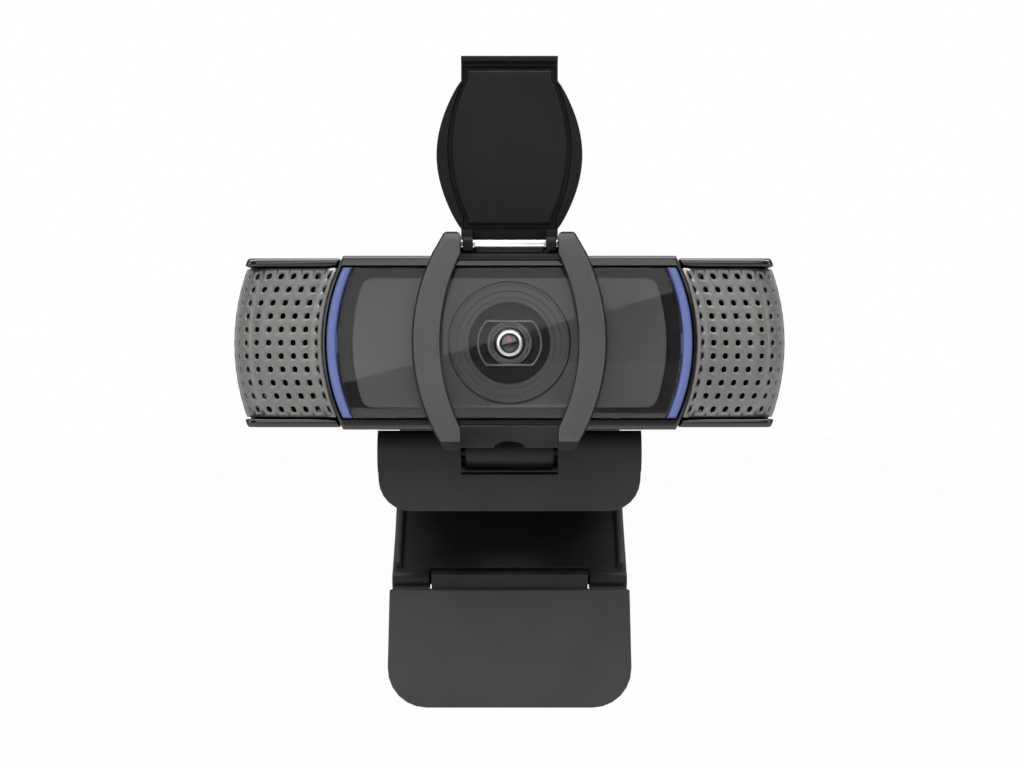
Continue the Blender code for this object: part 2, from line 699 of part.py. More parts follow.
def make_light(name_light, name_led, name_board):
    """Make the right-hand light strip, its LED and its small board."""
    outer = bowed_edge(LIGHT_OUTER, CENTRE_ARC_R, INSERT_HALF)
    inner = bowed_edge(LIGHT_INNER, CENTRE_ARC_R, INSERT_HALF)
    front = BODY_FRONT + GAP / 3
    back = front + LIGHT_DEPTH
    strip = prism(name_light, [outer + list(reversed(inner))], "Y", front, back)
    finish(strip, BLUE_LIGHT)
    x = (LIGHT_OUTER + LIGHT_INNER) / 2
    led_front = back + GAP
    led_back = led_front + 1.0 * MM
    led = box(name_led, (x - 1.2 * MM, led_front, LENS_Z - 1.6 * MM),
              (x + 0.5 * MM, led_back, LENS_Z + 1.6 * MM))
    finish(led, CLEAR, smooth=False)
    board_front = led_back + GAP
    edge = LIGHT_OUTER - 0.5 * MM
    board = box(name_board, (edge - 2.1 * MM, board_front, LENS_Z - 4 * MM),
                (edge, board_front + 0.8 * MM, LENS_Z + 4 * MM))
    finish(board, CIRCUIT, smooth=False)
    return strip, led, board


# --------------------------------------------------------- head: optics
BAFFLE_FRONT = MASK_BACK + GAP
BARREL_FRONT = BAFFLE_FRONT + BAFFLE_THICKNESS + FOCUS_TRAVEL + GAP
BARREL_BACK = BARREL_FRONT + BARREL_LENGTH
SENSOR_BACK = BOARD_FRONT - GAP
SENSOR_FRONT = SENSOR_BACK - SENSOR_THICKNESS
FILTER_BACK = SENSOR_FRONT - GAP
FILTER_FRONT = FILTER_BACK - FILTER_THICKNESS


def make_baffle():
    """Make the black plate with the D-cut aperture in front of the lens."""
    opening = rectangle(-BAFFLE_HALF_WIDTH, LENS_Z - BAFFLE_HALF_HEIGHT,
                        BAFFLE_HALF_WIDTH, LENS_Z + BAFFLE_HALF_HEIGHT)
    opening = fillet(opening, BAFFLE_CHAMFER, 2)
    outer = disc(BEZEL_BORE_R - GAP)
    baffle = prism("light_baffle", [outer, opening], "Y", BAFFLE_FRONT,
                   BAFFLE_FRONT + BAFFLE_THICKNESS)
    finish(baffle, MATTE_BLACK)


def lens_element(name, front, radius, thickness, dome):
    """Make a round lens with a domed front."""
    steps = 4
    profile = [(radius, front + dome + thickness), (radius, front + dome)]
    for k in range(1, steps):
        share = 1 - k / steps
        profile.append((radius * share, front + dome * share * share))
    profile += [(0.0, front), (0.0, front + dome + thickness)]
    return finish(turned(name, list(reversed(profile)), 0.0, LENS_Z, 24), LENS_GLASS)


def make_optics():
    """Make the moving lens barrel and what it holds, and the fixed holder."""
    y0 = BARREL_FRONT
    profile = [(BARREL_R, y0), (BARREL_R, BARREL_BACK), (BARREL_BORE_R, BARREL_BACK),
               (BARREL_BORE_R, y0 + 0.7 * MM), (BARREL_R - 0.5 * MM, y0)]
    finish(turned("lens_barrel", profile, 0.0, LENS_Z), MATTE_BLACK)
    ring_r = BARREL_BORE_R - GAP
    ring_back = y0 + 0.9 * MM
    ring = [(ring_r, y0 + 0.5 * MM), (ring_r, ring_back),
            (LENS_RING_BORE_R, ring_back), (LENS_RING_BORE_R + 0.2 * MM, y0 + 0.5 * MM)]
    finish(turned("lens_ring", ring, 0.0, LENS_Z), STEEL)
    lens_element("lens_front_element", ring_back + GAP, ring_r, 0.8 * MM, 0.7 * MM)
    lens_element("lens_rear_element", BARREL_BACK - 2.0 * MM, ring_r, 0.8 * MM,
                 0.5 * MM)

    back = SENSOR_BACK
    holder = box("lens_holder", (-HOLDER_HALF, back - HOLDER_DEPTH, LENS_Z - HOLDER_HALF),
                 (HOLDER_HALF, back, LENS_Z + HOLDER_HALF))
    cut(holder, rod("barrel_bore", BARREL_R + GAP, "Y", back - HOLDER_DEPTH - MM,
                    back + MM, (0.0, LENS_Z)))
    half = HOLDER_CAVITY_HALF
    cut(holder, box("sensor_bay", (-half, FILTER_FRONT - GAP, LENS_Z - half),
                    (half, back + MM, LENS_Z + half)))
    finish(holder, MATTE_BLACK, smooth=False)
    half -= GAP + 0.1 * MM
    glass = box("ir_filter", (-half, FILTER_FRONT, LENS_Z - half),
                (half, FILTER_BACK, LENS_Z + half))
    finish(glass, LENS_GLASS, smooth=False)
    sensor = box("image_sensor", (-3.5 * MM, SENSOR_FRONT, LENS_Z - 3 * MM),
                 (3.5 * MM, SENSOR_BACK, LENS_Z + 3 * MM))
    finish(sensor, CHIP, smooth=False)


# ---------------------------------------------------- head: electronics
def make_electronics():
    """Make the main board, its parts and screws, and the cable gland."""
    half_width = BODY_HALF_WIDTH - BOARD_END_MARGIN
    board_back = BOARD_FRONT + BOARD_THICKNESS
    outline = fillet(rectangle(-half_width, LENS_Z - BOARD_HALF_HEIGHT, half_width,
                               LENS_Z + BOARD_HALF_HEIGHT), 1.5 * MM, 2)
    holes = [disc(SCREW_R + GAP, place, 12) for place in board_screw_places()]
    board = prism("main_board", [outline] + holes, "Y", BOARD_FRONT, board_back)
    finish(board, CIRCUIT)
    for index, place in enumerate(board_screw_places(), start=1):
        name = "board_screw_%d" % index
        head_back = BOARD_FRONT - GAP
        screw = rod(name, SCREW_HEAD_R, "Y", head_back - 1.1 * MM, head_back, place, 16)
        join(screw, rod("shank", SCREW_R, "Y", head_back - 0.5 * MM,
                        board_back + 3.6 * MM, place, 12))
        finish(screw, STEEL)
    seat = board_back + GAP
    chip = box("processor", (-20 * MM, seat, LENS_Z - 5 * MM),
               (-10 * MM, seat + 1.2 * MM, LENS_Z + 5 * MM))
    finish(chip, CHIP, smooth=False)
    can = box("shield_can", (-22 * MM, seat, LENS_Z - 7 * MM),
              (-8 * MM, seat + 2.4 * MM, LENS_Z + 7 * MM))
    cut(can, box("can_inside", (-21.5 * MM, seat - MM, LENS_Z - 6.5 * MM),
                 (-8.5 * MM, seat + 1.9 * MM, LENS_Z + 6.5 * MM)))
    finish(can, STEEL, smooth=False)
    z = LENS_Z - GLAND_DROP
    header = box("cable_header", (GLAND_X - 4 * MM, seat, z - 2.5 * MM),
                 (GLAND_X + 4 * MM, seat + 3.0 * MM, z + 2.5 * MM))
    finish(header, CHIP, smooth=False)
    wall = BODY_REAR - BODY_WALL
    flange = BODY_REAR + GAP
    flange_r = GLAND_R + 1.5 * MM
    end = flange + GLAND_LENGTH
    profile = [(GLAND_R, wall - GAP), (GLAND_R, flange), (flange_r, flange),
               (flange_r, flange + 1.2 * MM), (GLAND_R, flange + 1.2 * MM),
               (GLAND_BORE_R + 0.6 * MM, end), (GLAND_BORE_R, end),
               (GLAND_BORE_R, wall - GAP)]
    finish(turned("cable_gland", profile, GLAND_X, z, 20), RUBBER)


# -------------------------------------------------------------- shutter
BODY_TOP = BODY_BOTTOM + BODY_HEIGHT
ARM_TOP = BODY_TOP + ARM_OVER_TOP
ARM_BOTTOM = BODY_BOTTOM - ARM_UNDER_BOTTOM
ARM_BACK = BODY_FRONT - GAP
FRAME_FRONT = ARM_FRONT + ARM_COVER + GAP
FLAP_AXIS_Z = BODY_TOP + FLAP_AXIS_OVER_BODY
BAR_FRONT = FRAME_FRONT + BAR_SET_BACK


def bow_radius(half_height, sagitta):
    """Return the radius of an arc of a half chord and a rise."""
    return (half_height ** 2 + sagitta ** 2) / (2 * sagitta)


def arm_outline(inset=0.0):
    """Return the right-hand arm's outline, inset on its outer side and ends."""
    middle = (ARM_TOP + ARM_BOTTOM) / 2
    half = (ARM_TOP - ARM_BOTTOM) / 2
    outer_r = bow_radius(half, ARM_MID_OUTER - ARM_END_OUTER)
    bend = half - ARM_STRAIGHT
    inner_r = bow_radius(bend, ARM_MID_INNER - ARM_END_INNER)
    steps = 10
    outer, inner = [], []
    for k in range(steps + 1):
        h = (half - inset) * (2 * k / steps - 1)
        outer.append((bow(ARM_MID_OUTER - inset, h, outer_r), middle + h))
        h = bend * (2 * k / steps - 1)
        inner.append((bow(ARM_MID_INNER, h, inner_r), middle + h))
    low = (ARM_END_INNER, middle - half + inset)
    high = (ARM_END_INNER, middle + half - inset)
    return [low] + outer + [high] + list(reversed(inner))


def make_shutter_frame():
    """Make the black frame that hooks over the body, and its grey faces."""
    outline = fillet(arm_outline(), 0.7 * MM, 2)
    frame = prism("shutter_frame", [outline], "Y", FRAME_FRONT, ARM_BACK)
    join(frame, mirror_copy(frame, "left_arm"))
    overlap = 0.5 * MM
    half = ARM_END_INNER + overlap
    reach = FLAP_KNUCKLE_R + GAP
    top_low = BODY_TOP - 0.75 * MM
    hook_low = BODY_TOP + GAP
    side_high = FLAP_AXIS_Z - reach
    join(frame, box("top_bar", (-half, BAR_FRONT, top_low), (half, ARM_BACK, side_high)))
    hook_back = BODY_FRONT + HOOK_LENGTH
    hook_front = FLAP_AXIS_Y + reach + 0.05 * MM
    hook_high = hook_low + BAR_THICKNESS
    wide = ARM_END_OUTER - 0.5 * MM
    middle = FLAP_KNUCKLE_INNER - GAP
    join(frame, box("top_rise", (-middle, BAR_FRONT + 0.1 * MM, hook_low),
                    (middle, hook_back - MM, FLAP_AXIS_Z - FLAP_PIN_R - GAP)))
    join(frame, box("top_hook", (-wide, hook_front, hook_low + 0.02 * MM),
                    (wide, hook_back, hook_high)))
    for side in (-1, 1):
        x0, x1 = sorted((side * (ARM_END_INNER + 0.2 * MM), side * (wide - 0.1 * MM)))
        join(frame, box("ear", (x0, ARM_BACK - overlap, hook_low + 0.05 * MM),
                        (x1, hook_front + overlap, hook_high - 0.05 * MM)))
    low = BODY_BOTTOM - BAR_THICKNESS - GAP - 1.6 * MM
    bar_front = FRAME_FRONT + MM
    join(frame, box("bottom_bar", (-half, bar_front, low),
                    (half, ARM_BACK - 0.01 * MM, BODY_BOTTOM + 0.75 * MM)))
    join(frame, box("bottom_hook", (-half, bar_front + 0.1 * MM,
                                    BODY_BOTTOM - GAP - BAR_THICKNESS),
                    (half, hook_back, BODY_BOTTOM - GAP)))
    steps = 6
    notch = [(NOTCH_HALF_WIDTH * math.cos(math.pi * k / steps),
              low + NOTCH_HEIGHT * math.sin(math.pi * k / steps))
             for k in range(steps + 1)]
    notch += [(-NOTCH_HALF_WIDTH, low - MM), (NOTCH_HALF_WIDTH, low - MM)]
    cut(frame, prism("notch", [notch], "Y", ARM_FRONT - MM, ARM_BACK + MM))
    cut(frame, rod("pin_bore", FLAP_PIN_R + GAP, "X", -ARM_END_OUTER + MM,
                   ARM_END_OUTER - MM, (FLAP_AXIS_Y, FLAP_AXIS_Z), 12))
    finish(frame, GLOSS_BLACK)

    cover_line = fillet(arm_outline(0.25 * MM), 0.6 * MM, 2)
    cover = prism("arm_cover_right", [cover_line], "Y", ARM_FRONT,
                  ARM_FRONT + ARM_COVER)
    finish(cover, ARM_GREY)
    finish(mirror_copy(cover, "arm_cover_left"), ARM_GREY)


def flap_outline(low, length, end, middle):
    """Return the outline of the flap or of its raised panel.

    It is straight up to the waist and along the tab, and bulges between.
    """
    foot, stop = max(low, FLAP_WAIST), length - FLAP_TAB
    steps = 14
    right = [(end, FLAP_AXIS_Z + low)] if low < foot else []
    for k in range(steps + 1):
        bulge = math.sin(math.pi * k / steps) ** 0.85 if 0 < k < steps else 0.0
        right.append((end + (middle - end) * bulge,
                      FLAP_AXIS_Z + foot + (stop - foot) * k / steps))
    right.append((end, FLAP_AXIS_Z + length))
    return right + mirrored(right)


def make_flap():
    """Make the flap, standing open above its hinge, with its raised panel."""
    face = FLAP_AXIS_Y + (FLAP_AXIS_Y - ARM_FRONT) + FLAP_OVER_ARMS
    low = FLAP_KNUCKLE_R + GAP
    outline = flap_outline(low, FLAP_LENGTH, FLAP_END_HALF, FLAP_HALF_WIDTH)
    flap = prism("shutter_flap", [fillet(outline, 1.0 * MM, 2)], "Y", face,
                 face + FLAP_THICKNESS)
    reach = face + FLAP_THICKNESS - FLAP_AXIS_Y
    web = [(-0.8, 0.0), (-0.5, 1.3), (2.1, 2.4)]
    web = [(FLAP_AXIS_Y + a * MM, FLAP_AXIS_Z + b * MM) for a, b in web]
    web += [(FLAP_AXIS_Y + reach, FLAP_AXIS_Z + 3.0 * MM),
            (FLAP_AXIS_Y + reach, FLAP_AXIS_Z + 1.6 * MM),
            (FLAP_AXIS_Y + 1.1 * MM, FLAP_AXIS_Z)]
    outer = ARM_END_INNER - GAP
    for side in (-1, 1):
        ends = sorted((side * FLAP_KNUCKLE_INNER, side * outer))
        join(flap, prism("web", [web], "X", *ends))
        join(flap, rod("knuckle", FLAP_KNUCKLE_R, "X", *ends,
                       (FLAP_AXIS_Y, FLAP_AXIS_Z), 16))
    cut(flap, rod("pin_bore", FLAP_PIN_R + GAP, "X", -2 * outer, 2 * outer,
                  (FLAP_AXIS_Y, FLAP_AXIS_Z), 12))
    finish(flap, GLOSS_BLACK)
    panel_line = flap_outline(3.4 * MM, FLAP_LENGTH - 3.2 * MM,
                              FLAP_END_HALF - 1.2 * MM, FLAP_HALF_WIDTH - FLAP_RIM)
    panel = prism("flap_panel", [fillet(panel_line, 1.2 * MM, 2)], "Y",
                  face - FLAP_PANEL_RISE, face - GAP)
    finish(panel, MATTE_BLACK)
    pin_end = ARM_END_OUTER - MM - GAP
    pin = rod("flap_hinge_pin", FLAP_PIN_R, "X", -pin_end, pin_end,
              (FLAP_AXIS_Y, FLAP_AXIS_Z), 12)
    finish(pin, STEEL)
    for piece in (flap, panel):
        set_origin(piece, (0.0, FLAP_AXIS_Y, FLAP_AXIS_Z))


# ----------------------------------------------------------------- clip
BASE_BOTTOM = SEAT_PAD_THICKNESS + GAP
BASE_TOP = BASE_BOTTOM + BASE_THICKNESS
LIP_FRONT = TILT_Y - TILT_BARREL_R
LIP_BACK = LIP_FRONT + LIP_THICKNESS


def make_clip_base():
    """Make the clip's base: seat plate, lip, two barrels and tripod boss."""
    rear = HINGE_Y - HINGE_R - GAP
    plan = [(-BASE_HALF_FRONT, LIP_BACK - MM), (BASE_HALF_FRONT, LIP_BACK - MM),
            (BASE_HALF_REAR, rear), (-BASE_HALF_REAR, rear)]
    base = prism("clip_base", [plan], "Z", BASE_BOTTOM, BASE_TOP)
    lip = [(-LIP_HALF_BOTTOM, -LIP_DROP), (LIP_HALF_BOTTOM, -LIP_DROP),
           (BASE_HALF_FRONT, TILT_Z), (-BASE_HALF_FRONT, TILT_Z)]
    lip = fillet(lip, LIP_CORNER_R, 6, lambda p: p[1] < 0)
    join(base, prism("lip", [lip], "Y", LIP_FRONT, LIP_BACK))
    join(base, rod("front_barrel", TILT_BARREL_R, "X", -BASE_HALF_FRONT,
                   BASE_HALF_FRONT, (TILT_Y, TILT_Z)))
    join(base, rod("rear_barrel", HINGE_R, "X", -HINGE_INNER_HALF, HINGE_INNER_HALF,
                   (HINGE_Y, HINGE_Z)))
    join(base, box("tongue", (-HINGE_INNER_HALF, rear - MM, BASE_BOTTOM),
                   (HINGE_INNER_HALF, HINGE_Y, BASE_TOP)))
    slot = KNUCKLE_HALF + GAP
    swing = TILT_BARREL_R + GAP
    cut(base, box("knuckle_slot", (-slot, LIP_FRONT - MM, TILT_Z - swing),
                  (slot, TILT_Y + swing + 0.4 * MM, 2 * BODY_BOTTOM)))
    boss_r = INSERT_R + GAP + INSERT_BOSS_WALL
    join(base, rod("boss", boss_r, "Z", BASE_BOTTOM + MM, INSERT_TOP, (0, INSERT_Y)))
    cut(base, rod("insert_bore", INSERT_R + GAP, "Z", -MM, 2 * INSERT_TOP,
                  (0, INSERT_Y)))
    end = BASE_HALF_FRONT - 1.2 * MM
    cut(base, rod("tilt_bore", TILT_PIN_R + GAP, "X", -end, end, (TILT_Y, TILT_Z), 20))
    cut(base, rod("hinge_bore", HINGE_PIN_R + GAP, "X", -BASE_HALF_REAR,
                  BASE_HALF_REAR, (HINGE_Y, HINGE_Z), 20))
    finish(base, SOFT_BLACK)
    tilt_pin = rod("tilt_pin", TILT_PIN_R, "X", -end + GAP, end - GAP,
                   (TILT_Y, TILT_Z), 20)
    finish(tilt_pin, STEEL)


def make_clip_pads():
    """Make the seat pad, the lip pad and the brass tripod insert."""
    line = fillet(rectangle(-SEAT_PAD_HALF, SEAT_PAD_FRONT, SEAT_PAD_HALF,
                            SEAT_PAD_REAR), 2 * MM, 3)
    hole = disc(INSERT_R + 0.75 * MM, (0.0, INSERT_Y))
    pad = prism("seat_pad", [line, hole], "Z", 0.0, SEAT_PAD_THICKNESS)
    finish(pad, RUBBER)
    half = LIP_HALF_BOTTOM - 2.5 * MM
    line = fillet(rectangle(-half, -LIP_DROP + 1.2 * MM, half, -0.6 * MM), 2 * MM, 3)
    lip_pad = prism("lip_pad", [line], "Y", LIP_BACK + GAP,
                    LIP_BACK + GAP + LIP_PAD_THICKNESS)
    finish(lip_pad, RUBBER)
    ring = disc(INSERT_R, (0.0, INSERT_Y))
    bore = disc(INSERT_BORE_R, (0.0, INSERT_Y), 20)
    insert = prism("tripod_insert", [ring, bore], "Z", INSERT_BOTTOM,
                   INSERT_TOP - GAP)
    finish(insert, BRASS)


def arm_place(along, down):
    """Return the (y, z) of a point of the arm, from its own two distances."""
    c, s = math.cos(ARM_SLOPE), math.sin(ARM_SLOPE)
    return (HINGE_Y - along * c + down * s, HINGE_Z - along * s - down * c)


ARM_MIDDLE = ARM_NEAR + ARM_THICKNESS / 2
FOOT_Y, FOOT_Z = arm_place(ARM_LENGTH, ARM_MIDDLE)


def make_arm():
    """Make the arm, sloping down and forward from the rear barrel."""
    near, far = ARM_NEAR, ARM_NEAR + ARM_THICKNESS
    start = -HINGE_R + 0.5 * MM
    inner = HINGE_INNER_HALF + GAP
    side = [arm_place(start, near), arm_place(ARM_LENGTH, near),
            arm_place(ARM_LENGTH, far), arm_place(HINGE_R / 3, far),
            arm_place(start, near + MM)]
    arm = prism("arm_plate", [side], "X", -ARM_HALF_FOOT, ARM_HALF_FOOT)
    knuckle = rod("knuckle", HINGE_R, "X", -ARM_HALF_TOP, ARM_HALF_TOP,
                  (HINGE_Y, HINGE_Z))
    wing = -start - 0.3 * MM
    web = [arm_place(-wing, 0), arm_place(wing, 0), arm_place(wing, near + MM),
           arm_place(-wing, near + MM)]
    join(knuckle, prism("web", [web], "X", -ARM_HALF_TOP, ARM_HALF_TOP))
    clear = HINGE_R + GAP
    cut(knuckle, rod("barrel_room", clear, "X", -inner, inner, (HINGE_Y, HINGE_Z)))
    room = [arm_place(-2 * clear, -2 * clear), arm_place(2 * clear, -2 * clear),
            arm_place(2 * clear, near + 0.5 * MM), arm_place(-2 * clear, near + 0.5 * MM)]
    cut(knuckle, prism("room", [room], "X", -inner, inner))
    join(arm, knuckle)
    stop = ARM_LENGTH - FOOT_BARREL_R - 0.2 * MM
    rail = [arm_place(-start + MM, near + 0.2 * MM), arm_place(-start + MM, near - RAIL_HEIGHT),
            arm_place(stop, near - RAIL_HEIGHT), arm_place(stop, near + 0.2 * MM)]
    outer = ARM_HALF_TOP - 0.1 * MM
    for edge in (-outer, outer - RAIL_WIDTH):
        join(arm, prism("rail", [rail], "X", edge, edge + RAIL_WIDTH))
    join(arm, rod("foot_barrel", FOOT_BARREL_R, "X", -ARM_HALF_FOOT, ARM_HALF_FOOT,
                  (FOOT_Y, FOOT_Z), 20))
    reach = FOOT_BARREL_R + GAP
    gap = [arm_place(ARM_LENGTH - reach, -far), arm_place(ARM_LENGTH + 9 * MM, -far),
           arm_place(ARM_LENGTH + 9 * MM, 3 * far), arm_place(ARM_LENGTH - reach, 3 * far)]
    cut(arm, prism("foot_room", [gap], "X", -inner, inner))
    foot_end, hinge_end = FOOT_Y - 2 * HINGE_R, HINGE_Y + 2 * HINGE_R
    plan = [(-ARM_HALF_FOOT, foot_end), (ARM_HALF_FOOT, foot_end),
            (ARM_HALF_TOP, hinge_end), (-ARM_HALF_TOP, hinge_end)]
    keep(arm, prism("taper", [plan], "Z", -2 * ARM_LENGTH, ARM_LENGTH))
    end = ARM_HALF_TOP - 1.2 * MM
    cut(arm, rod("hinge_bore", HINGE_PIN_R + GAP, "X", -end, end,
                 (HINGE_Y, HINGE_Z), 20))
    cut(arm, rod("foot_bore", FOOT_PIN_R + GAP, "X", -end, end, (FOOT_Y, FOOT_Z), 16))
    finish(arm, MATTE_BLACK)
    set_origin(arm, (0.0, HINGE_Y, HINGE_Z))
    pin = rod("arm_hinge_pin", HINGE_PIN_R, "X", -end + GAP, end - GAP,
              (HINGE_Y, HINGE_Z), 20)
    finish(pin, STEEL)
    pin = rod("foot_hinge_pin", FOOT_PIN_R, "X", -end + GAP, end - GAP,
              (FOOT_Y, FOOT_Z), 16)
    finish(pin, STEEL)


def foot_outline(inset):
    """Return the foot's outline, square at the top and rounded below."""
    top = FOOT_Z - FOOT_TOP_DROP
    bottom = top - FOOT_LENGTH
    line = [(-FOOT_HALF_BOTTOM + inset, bottom + inset),
            (FOOT_HALF_BOTTOM - inset, bottom + inset),
            (FOOT_HALF_TOP - inset, top), (-FOOT_HALF_TOP + inset, top)]
    return fillet(line, FOOT_CORNER_R - inset, 6, lambda p: p[1] < top)


def make_foot():
    """Make the foot that presses on the monitor's back, with its pad."""
    back = FOOT_Y - FOOT_OFFSET
    front = back - FOOT_PLATE
    plate = prism("foot_plate", [foot_outline(FOOT_INSET)], "Y", front, back)
    half = HINGE_INNER_HALF
    lug = FOOT_BARREL_R - 0.5 * MM
    join(plate, box("tongue", (-half, front + 0.01 * MM, FOOT_Z - FOOT_TOP_DROP - MM),
                    (half, back - 0.01 * MM, FOOT_Z + lug)))
    join(plate, box("web", (-half, back - 0.5 * MM, FOOT_Z - lug),
                    (half, FOOT_Y, FOOT_Z + lug - 0.02 * MM)))
    join(plate, rod("barrel", FOOT_BARREL_R, "X", -half, half, (FOOT_Y, FOOT_Z), 20))
    cut(plate, rod("bore", FOOT_PIN_R + GAP, "X", -half - MM, half + MM,
                   (FOOT_Y, FOOT_Z), 16))
    finish(plate, MATTE_BLACK)
    pad = prism("foot_pad", [foot_outline(0.0)], "Y", front - GAP - FOOT_PAD,
                front - GAP)
    finish(pad, SOFT_BLACK)
    for piece in (plate, pad):
        set_origin(piece, (0.0, FOOT_Y, FOOT_Z))


def make_pairs():
    """Make the right-hand end pieces and their left-hand mirrors."""
    right = [make_end_cap(), make_grille(), *make_mic_set(),
             *make_light("light_guide_right", "status_led_right", "led_board_right")]
    for piece in right:
        copy = mirror_copy(piece, piece.name.replace("_right", "_left"))
        shader = piece.active_material.node_tree.nodes["Principled BSDF"]
        colour = tuple(shader.inputs["Base Color"].default_value)[:3]
        finish(copy, (colour, shader.inputs["Roughness"].default_value,
                      shader.inputs["Metallic"].default_value))


def main():
    """Build the whole webcam."""
    clear_scene()
    bpy.context.scene.collection.children.link(COLLECTION)
    make_front_housing()
    make_rear_housing()
    make_pairs()
    make_fascia()
    make_lens_bezel()
    make_baffle()
    make_optics()
    make_electronics()
    make_shutter_frame()
    make_flap()
    make_clip_base()
    make_clip_pads()
    make_arm()
    make_foot()


main()
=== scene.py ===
"""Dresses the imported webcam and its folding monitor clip.

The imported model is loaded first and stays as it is. Each class below makes the
detailed pieces of one sub-assembly, gives them their finishes and hangs them on
the bodies that carry them. All sizes are in metres unless a name says otherwise.
"""

import logging
import math
from dataclasses import dataclass
from enum import Enum
from typing import Callable, Optional, Sequence

import bmesh
import bpy
from mathutils import Matrix, Vector


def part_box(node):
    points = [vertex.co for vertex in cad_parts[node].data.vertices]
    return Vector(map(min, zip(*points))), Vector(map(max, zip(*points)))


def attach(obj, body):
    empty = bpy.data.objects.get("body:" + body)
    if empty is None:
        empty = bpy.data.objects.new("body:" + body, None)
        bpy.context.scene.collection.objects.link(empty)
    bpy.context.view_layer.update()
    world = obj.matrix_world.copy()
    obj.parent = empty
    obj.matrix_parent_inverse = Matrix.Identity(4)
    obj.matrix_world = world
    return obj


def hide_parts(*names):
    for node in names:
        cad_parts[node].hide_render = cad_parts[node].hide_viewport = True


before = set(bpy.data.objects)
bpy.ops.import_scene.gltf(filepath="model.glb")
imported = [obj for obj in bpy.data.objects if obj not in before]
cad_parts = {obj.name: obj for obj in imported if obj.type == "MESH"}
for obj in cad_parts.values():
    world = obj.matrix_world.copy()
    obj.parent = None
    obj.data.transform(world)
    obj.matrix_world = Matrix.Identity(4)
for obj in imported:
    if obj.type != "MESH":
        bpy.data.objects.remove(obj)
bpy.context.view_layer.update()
MM = 0.001
LOG = logging.getLogger("webcam")

Point2 = tuple[float, float]
Colour = tuple[float, float, float]
Loop = list[Vector]


class Body(Enum):
    """The moving bodies of the webcam."""

    BASE = "clip_base"
    HEAD = "head"
    LENS = "lens_carrier"
    FLAP = "flap"
    ARM = "arm"
    FOOT = "foot"


class Slot(Enum):
    """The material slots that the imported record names."""

    GLOSS = "gloss_black"
    MATTE = "matte_black"
    SOFT = "soft_black"
    ARM = "arm_grey"
    PANEL = "panel_grey"
    GRILLE = "painted_grille"
    WINDOW = "clear_window"
    LIGHT = "blue_light"
    LENS = "lens_glass"
    STEEL = "steel"
    BRASS = "brass"
    RUBBER = "rubber"
    BOARD = "circuit_board"
    CHIP = "chip"
    CLOTH = "cloth"


class Side(Enum):
    """Left and right, as signs along the row's X axis."""

    LEFT = -1
    RIGHT = 1


# --------------------------------------------------------------------------
# Shader groups shared by the finishes


def new_group(name: str, inputs: Sequence[tuple[str, str, float]],
              outputs: Sequence[tuple[str, str]]) -> bpy.types.NodeTree:
    """Start a shader group with named sockets.

    Args:
        name: The group's name.
        inputs: Name, kind ("Float", "Vector" or "Color") and start value of each.
        outputs: Name and kind of each output.

    Returns:
        The node tree, holding only its two interface nodes.
    """
    tree = bpy.data.node_groups.new(name, "ShaderNodeTree")
    for label, kind, value in inputs:
        socket = tree.interface.new_socket(label, in_out="INPUT",
                                           socket_type=f"NodeSocket{kind}")
        if kind == "Float":
            socket.default_value = value
    for label, kind in outputs:
        tree.interface.new_socket(label, in_out="OUTPUT",
                                  socket_type=f"NodeSocket{kind}")
    tree.nodes.new("NodeGroupInput").name = "In"
    tree.nodes.new("NodeGroupOutput").name = "Out"
    return tree


def ramp(tree: bpy.types.NodeTree, value: bpy.types.NodeSocket, low: float,
         high: float, to_low: float = 0.0,
         to_high: float = 1.0) -> bpy.types.NodeSocket:
    """Add a smooth map from one range to another.

    Args:
        tree: The tree to add to.
        value: The socket that is mapped.
        low: Start of the range read.
        high: End of the range read.
        to_low: Value given at and below low.
        to_high: Value given at and above high.

    Returns:
        The mapped value's socket.
    """
    node = tree.nodes.new("ShaderNodeMapRange")
    node.interpolation_type = "SMOOTHSTEP"
    for label, number in (("From Min", low), ("From Max", high),
                          ("To Min", to_low), ("To Max", to_high)):
        node.inputs[label].default_value = number
    tree.links.new(value, node.inputs["Value"])
    return node.outputs["Result"]


def colour_mix(tree: bpy.types.NodeTree) -> tuple[bpy.types.NodeSocket, ...]:
    """Add a mix of two colours.

    Args:
        tree: The tree to add to.

    Returns:
        The sockets for the share, the first and second colour, and the result.
    """
    node = tree.nodes.new("ShaderNodeMix")
    node.data_type = "RGBA"
    return node.inputs[0], node.inputs[6], node.inputs[7], node.outputs[2]


def grain_group() -> bpy.types.NodeTree:
    """Make the fine moulded grain: a height that is rough at two scales.

    Returns:
        The group, with Height and Fleck outputs.
    """
    tree = new_group("moulded_grain",
                     [("Place", "Vector", 0.0), ("Scale", "Float", 2500.0),
                      ("Waviness", "Float", 0.3)],
                     [("Height", "Float"), ("Fleck", "Float")])
    given, out = tree.nodes["In"], tree.nodes["Out"]
    fine = tree.nodes.new("ShaderNodeTexNoise")
    fine.inputs["Detail"].default_value = 2.0
    wide = tree.nodes.new("ShaderNodeTexNoise")
    wide.inputs["Scale"].default_value = 90.0
    pits = tree.nodes.new("ShaderNodeTexVoronoi")
    link = tree.links.new
    for node in (fine, wide, pits):
        link(given.outputs["Place"], node.inputs["Vector"])
    link(given.outputs["Scale"], fine.inputs["Scale"])
    link(given.outputs["Scale"], pits.inputs["Scale"])
    both = tree.nodes.new("ShaderNodeMix")
    link(given.outputs["Waviness"], both.inputs["Factor"])
    link(fine.outputs["Fac"], both.inputs["A"])
    link(wide.outputs["Fac"], both.inputs["B"])
    link(both.outputs["Result"], out.inputs["Height"])
    link(ramp(tree, pits.outputs["Distance"], 0.1, 0.5, 1.0, 0.0),
         out.inputs["Fleck"])
    return tree


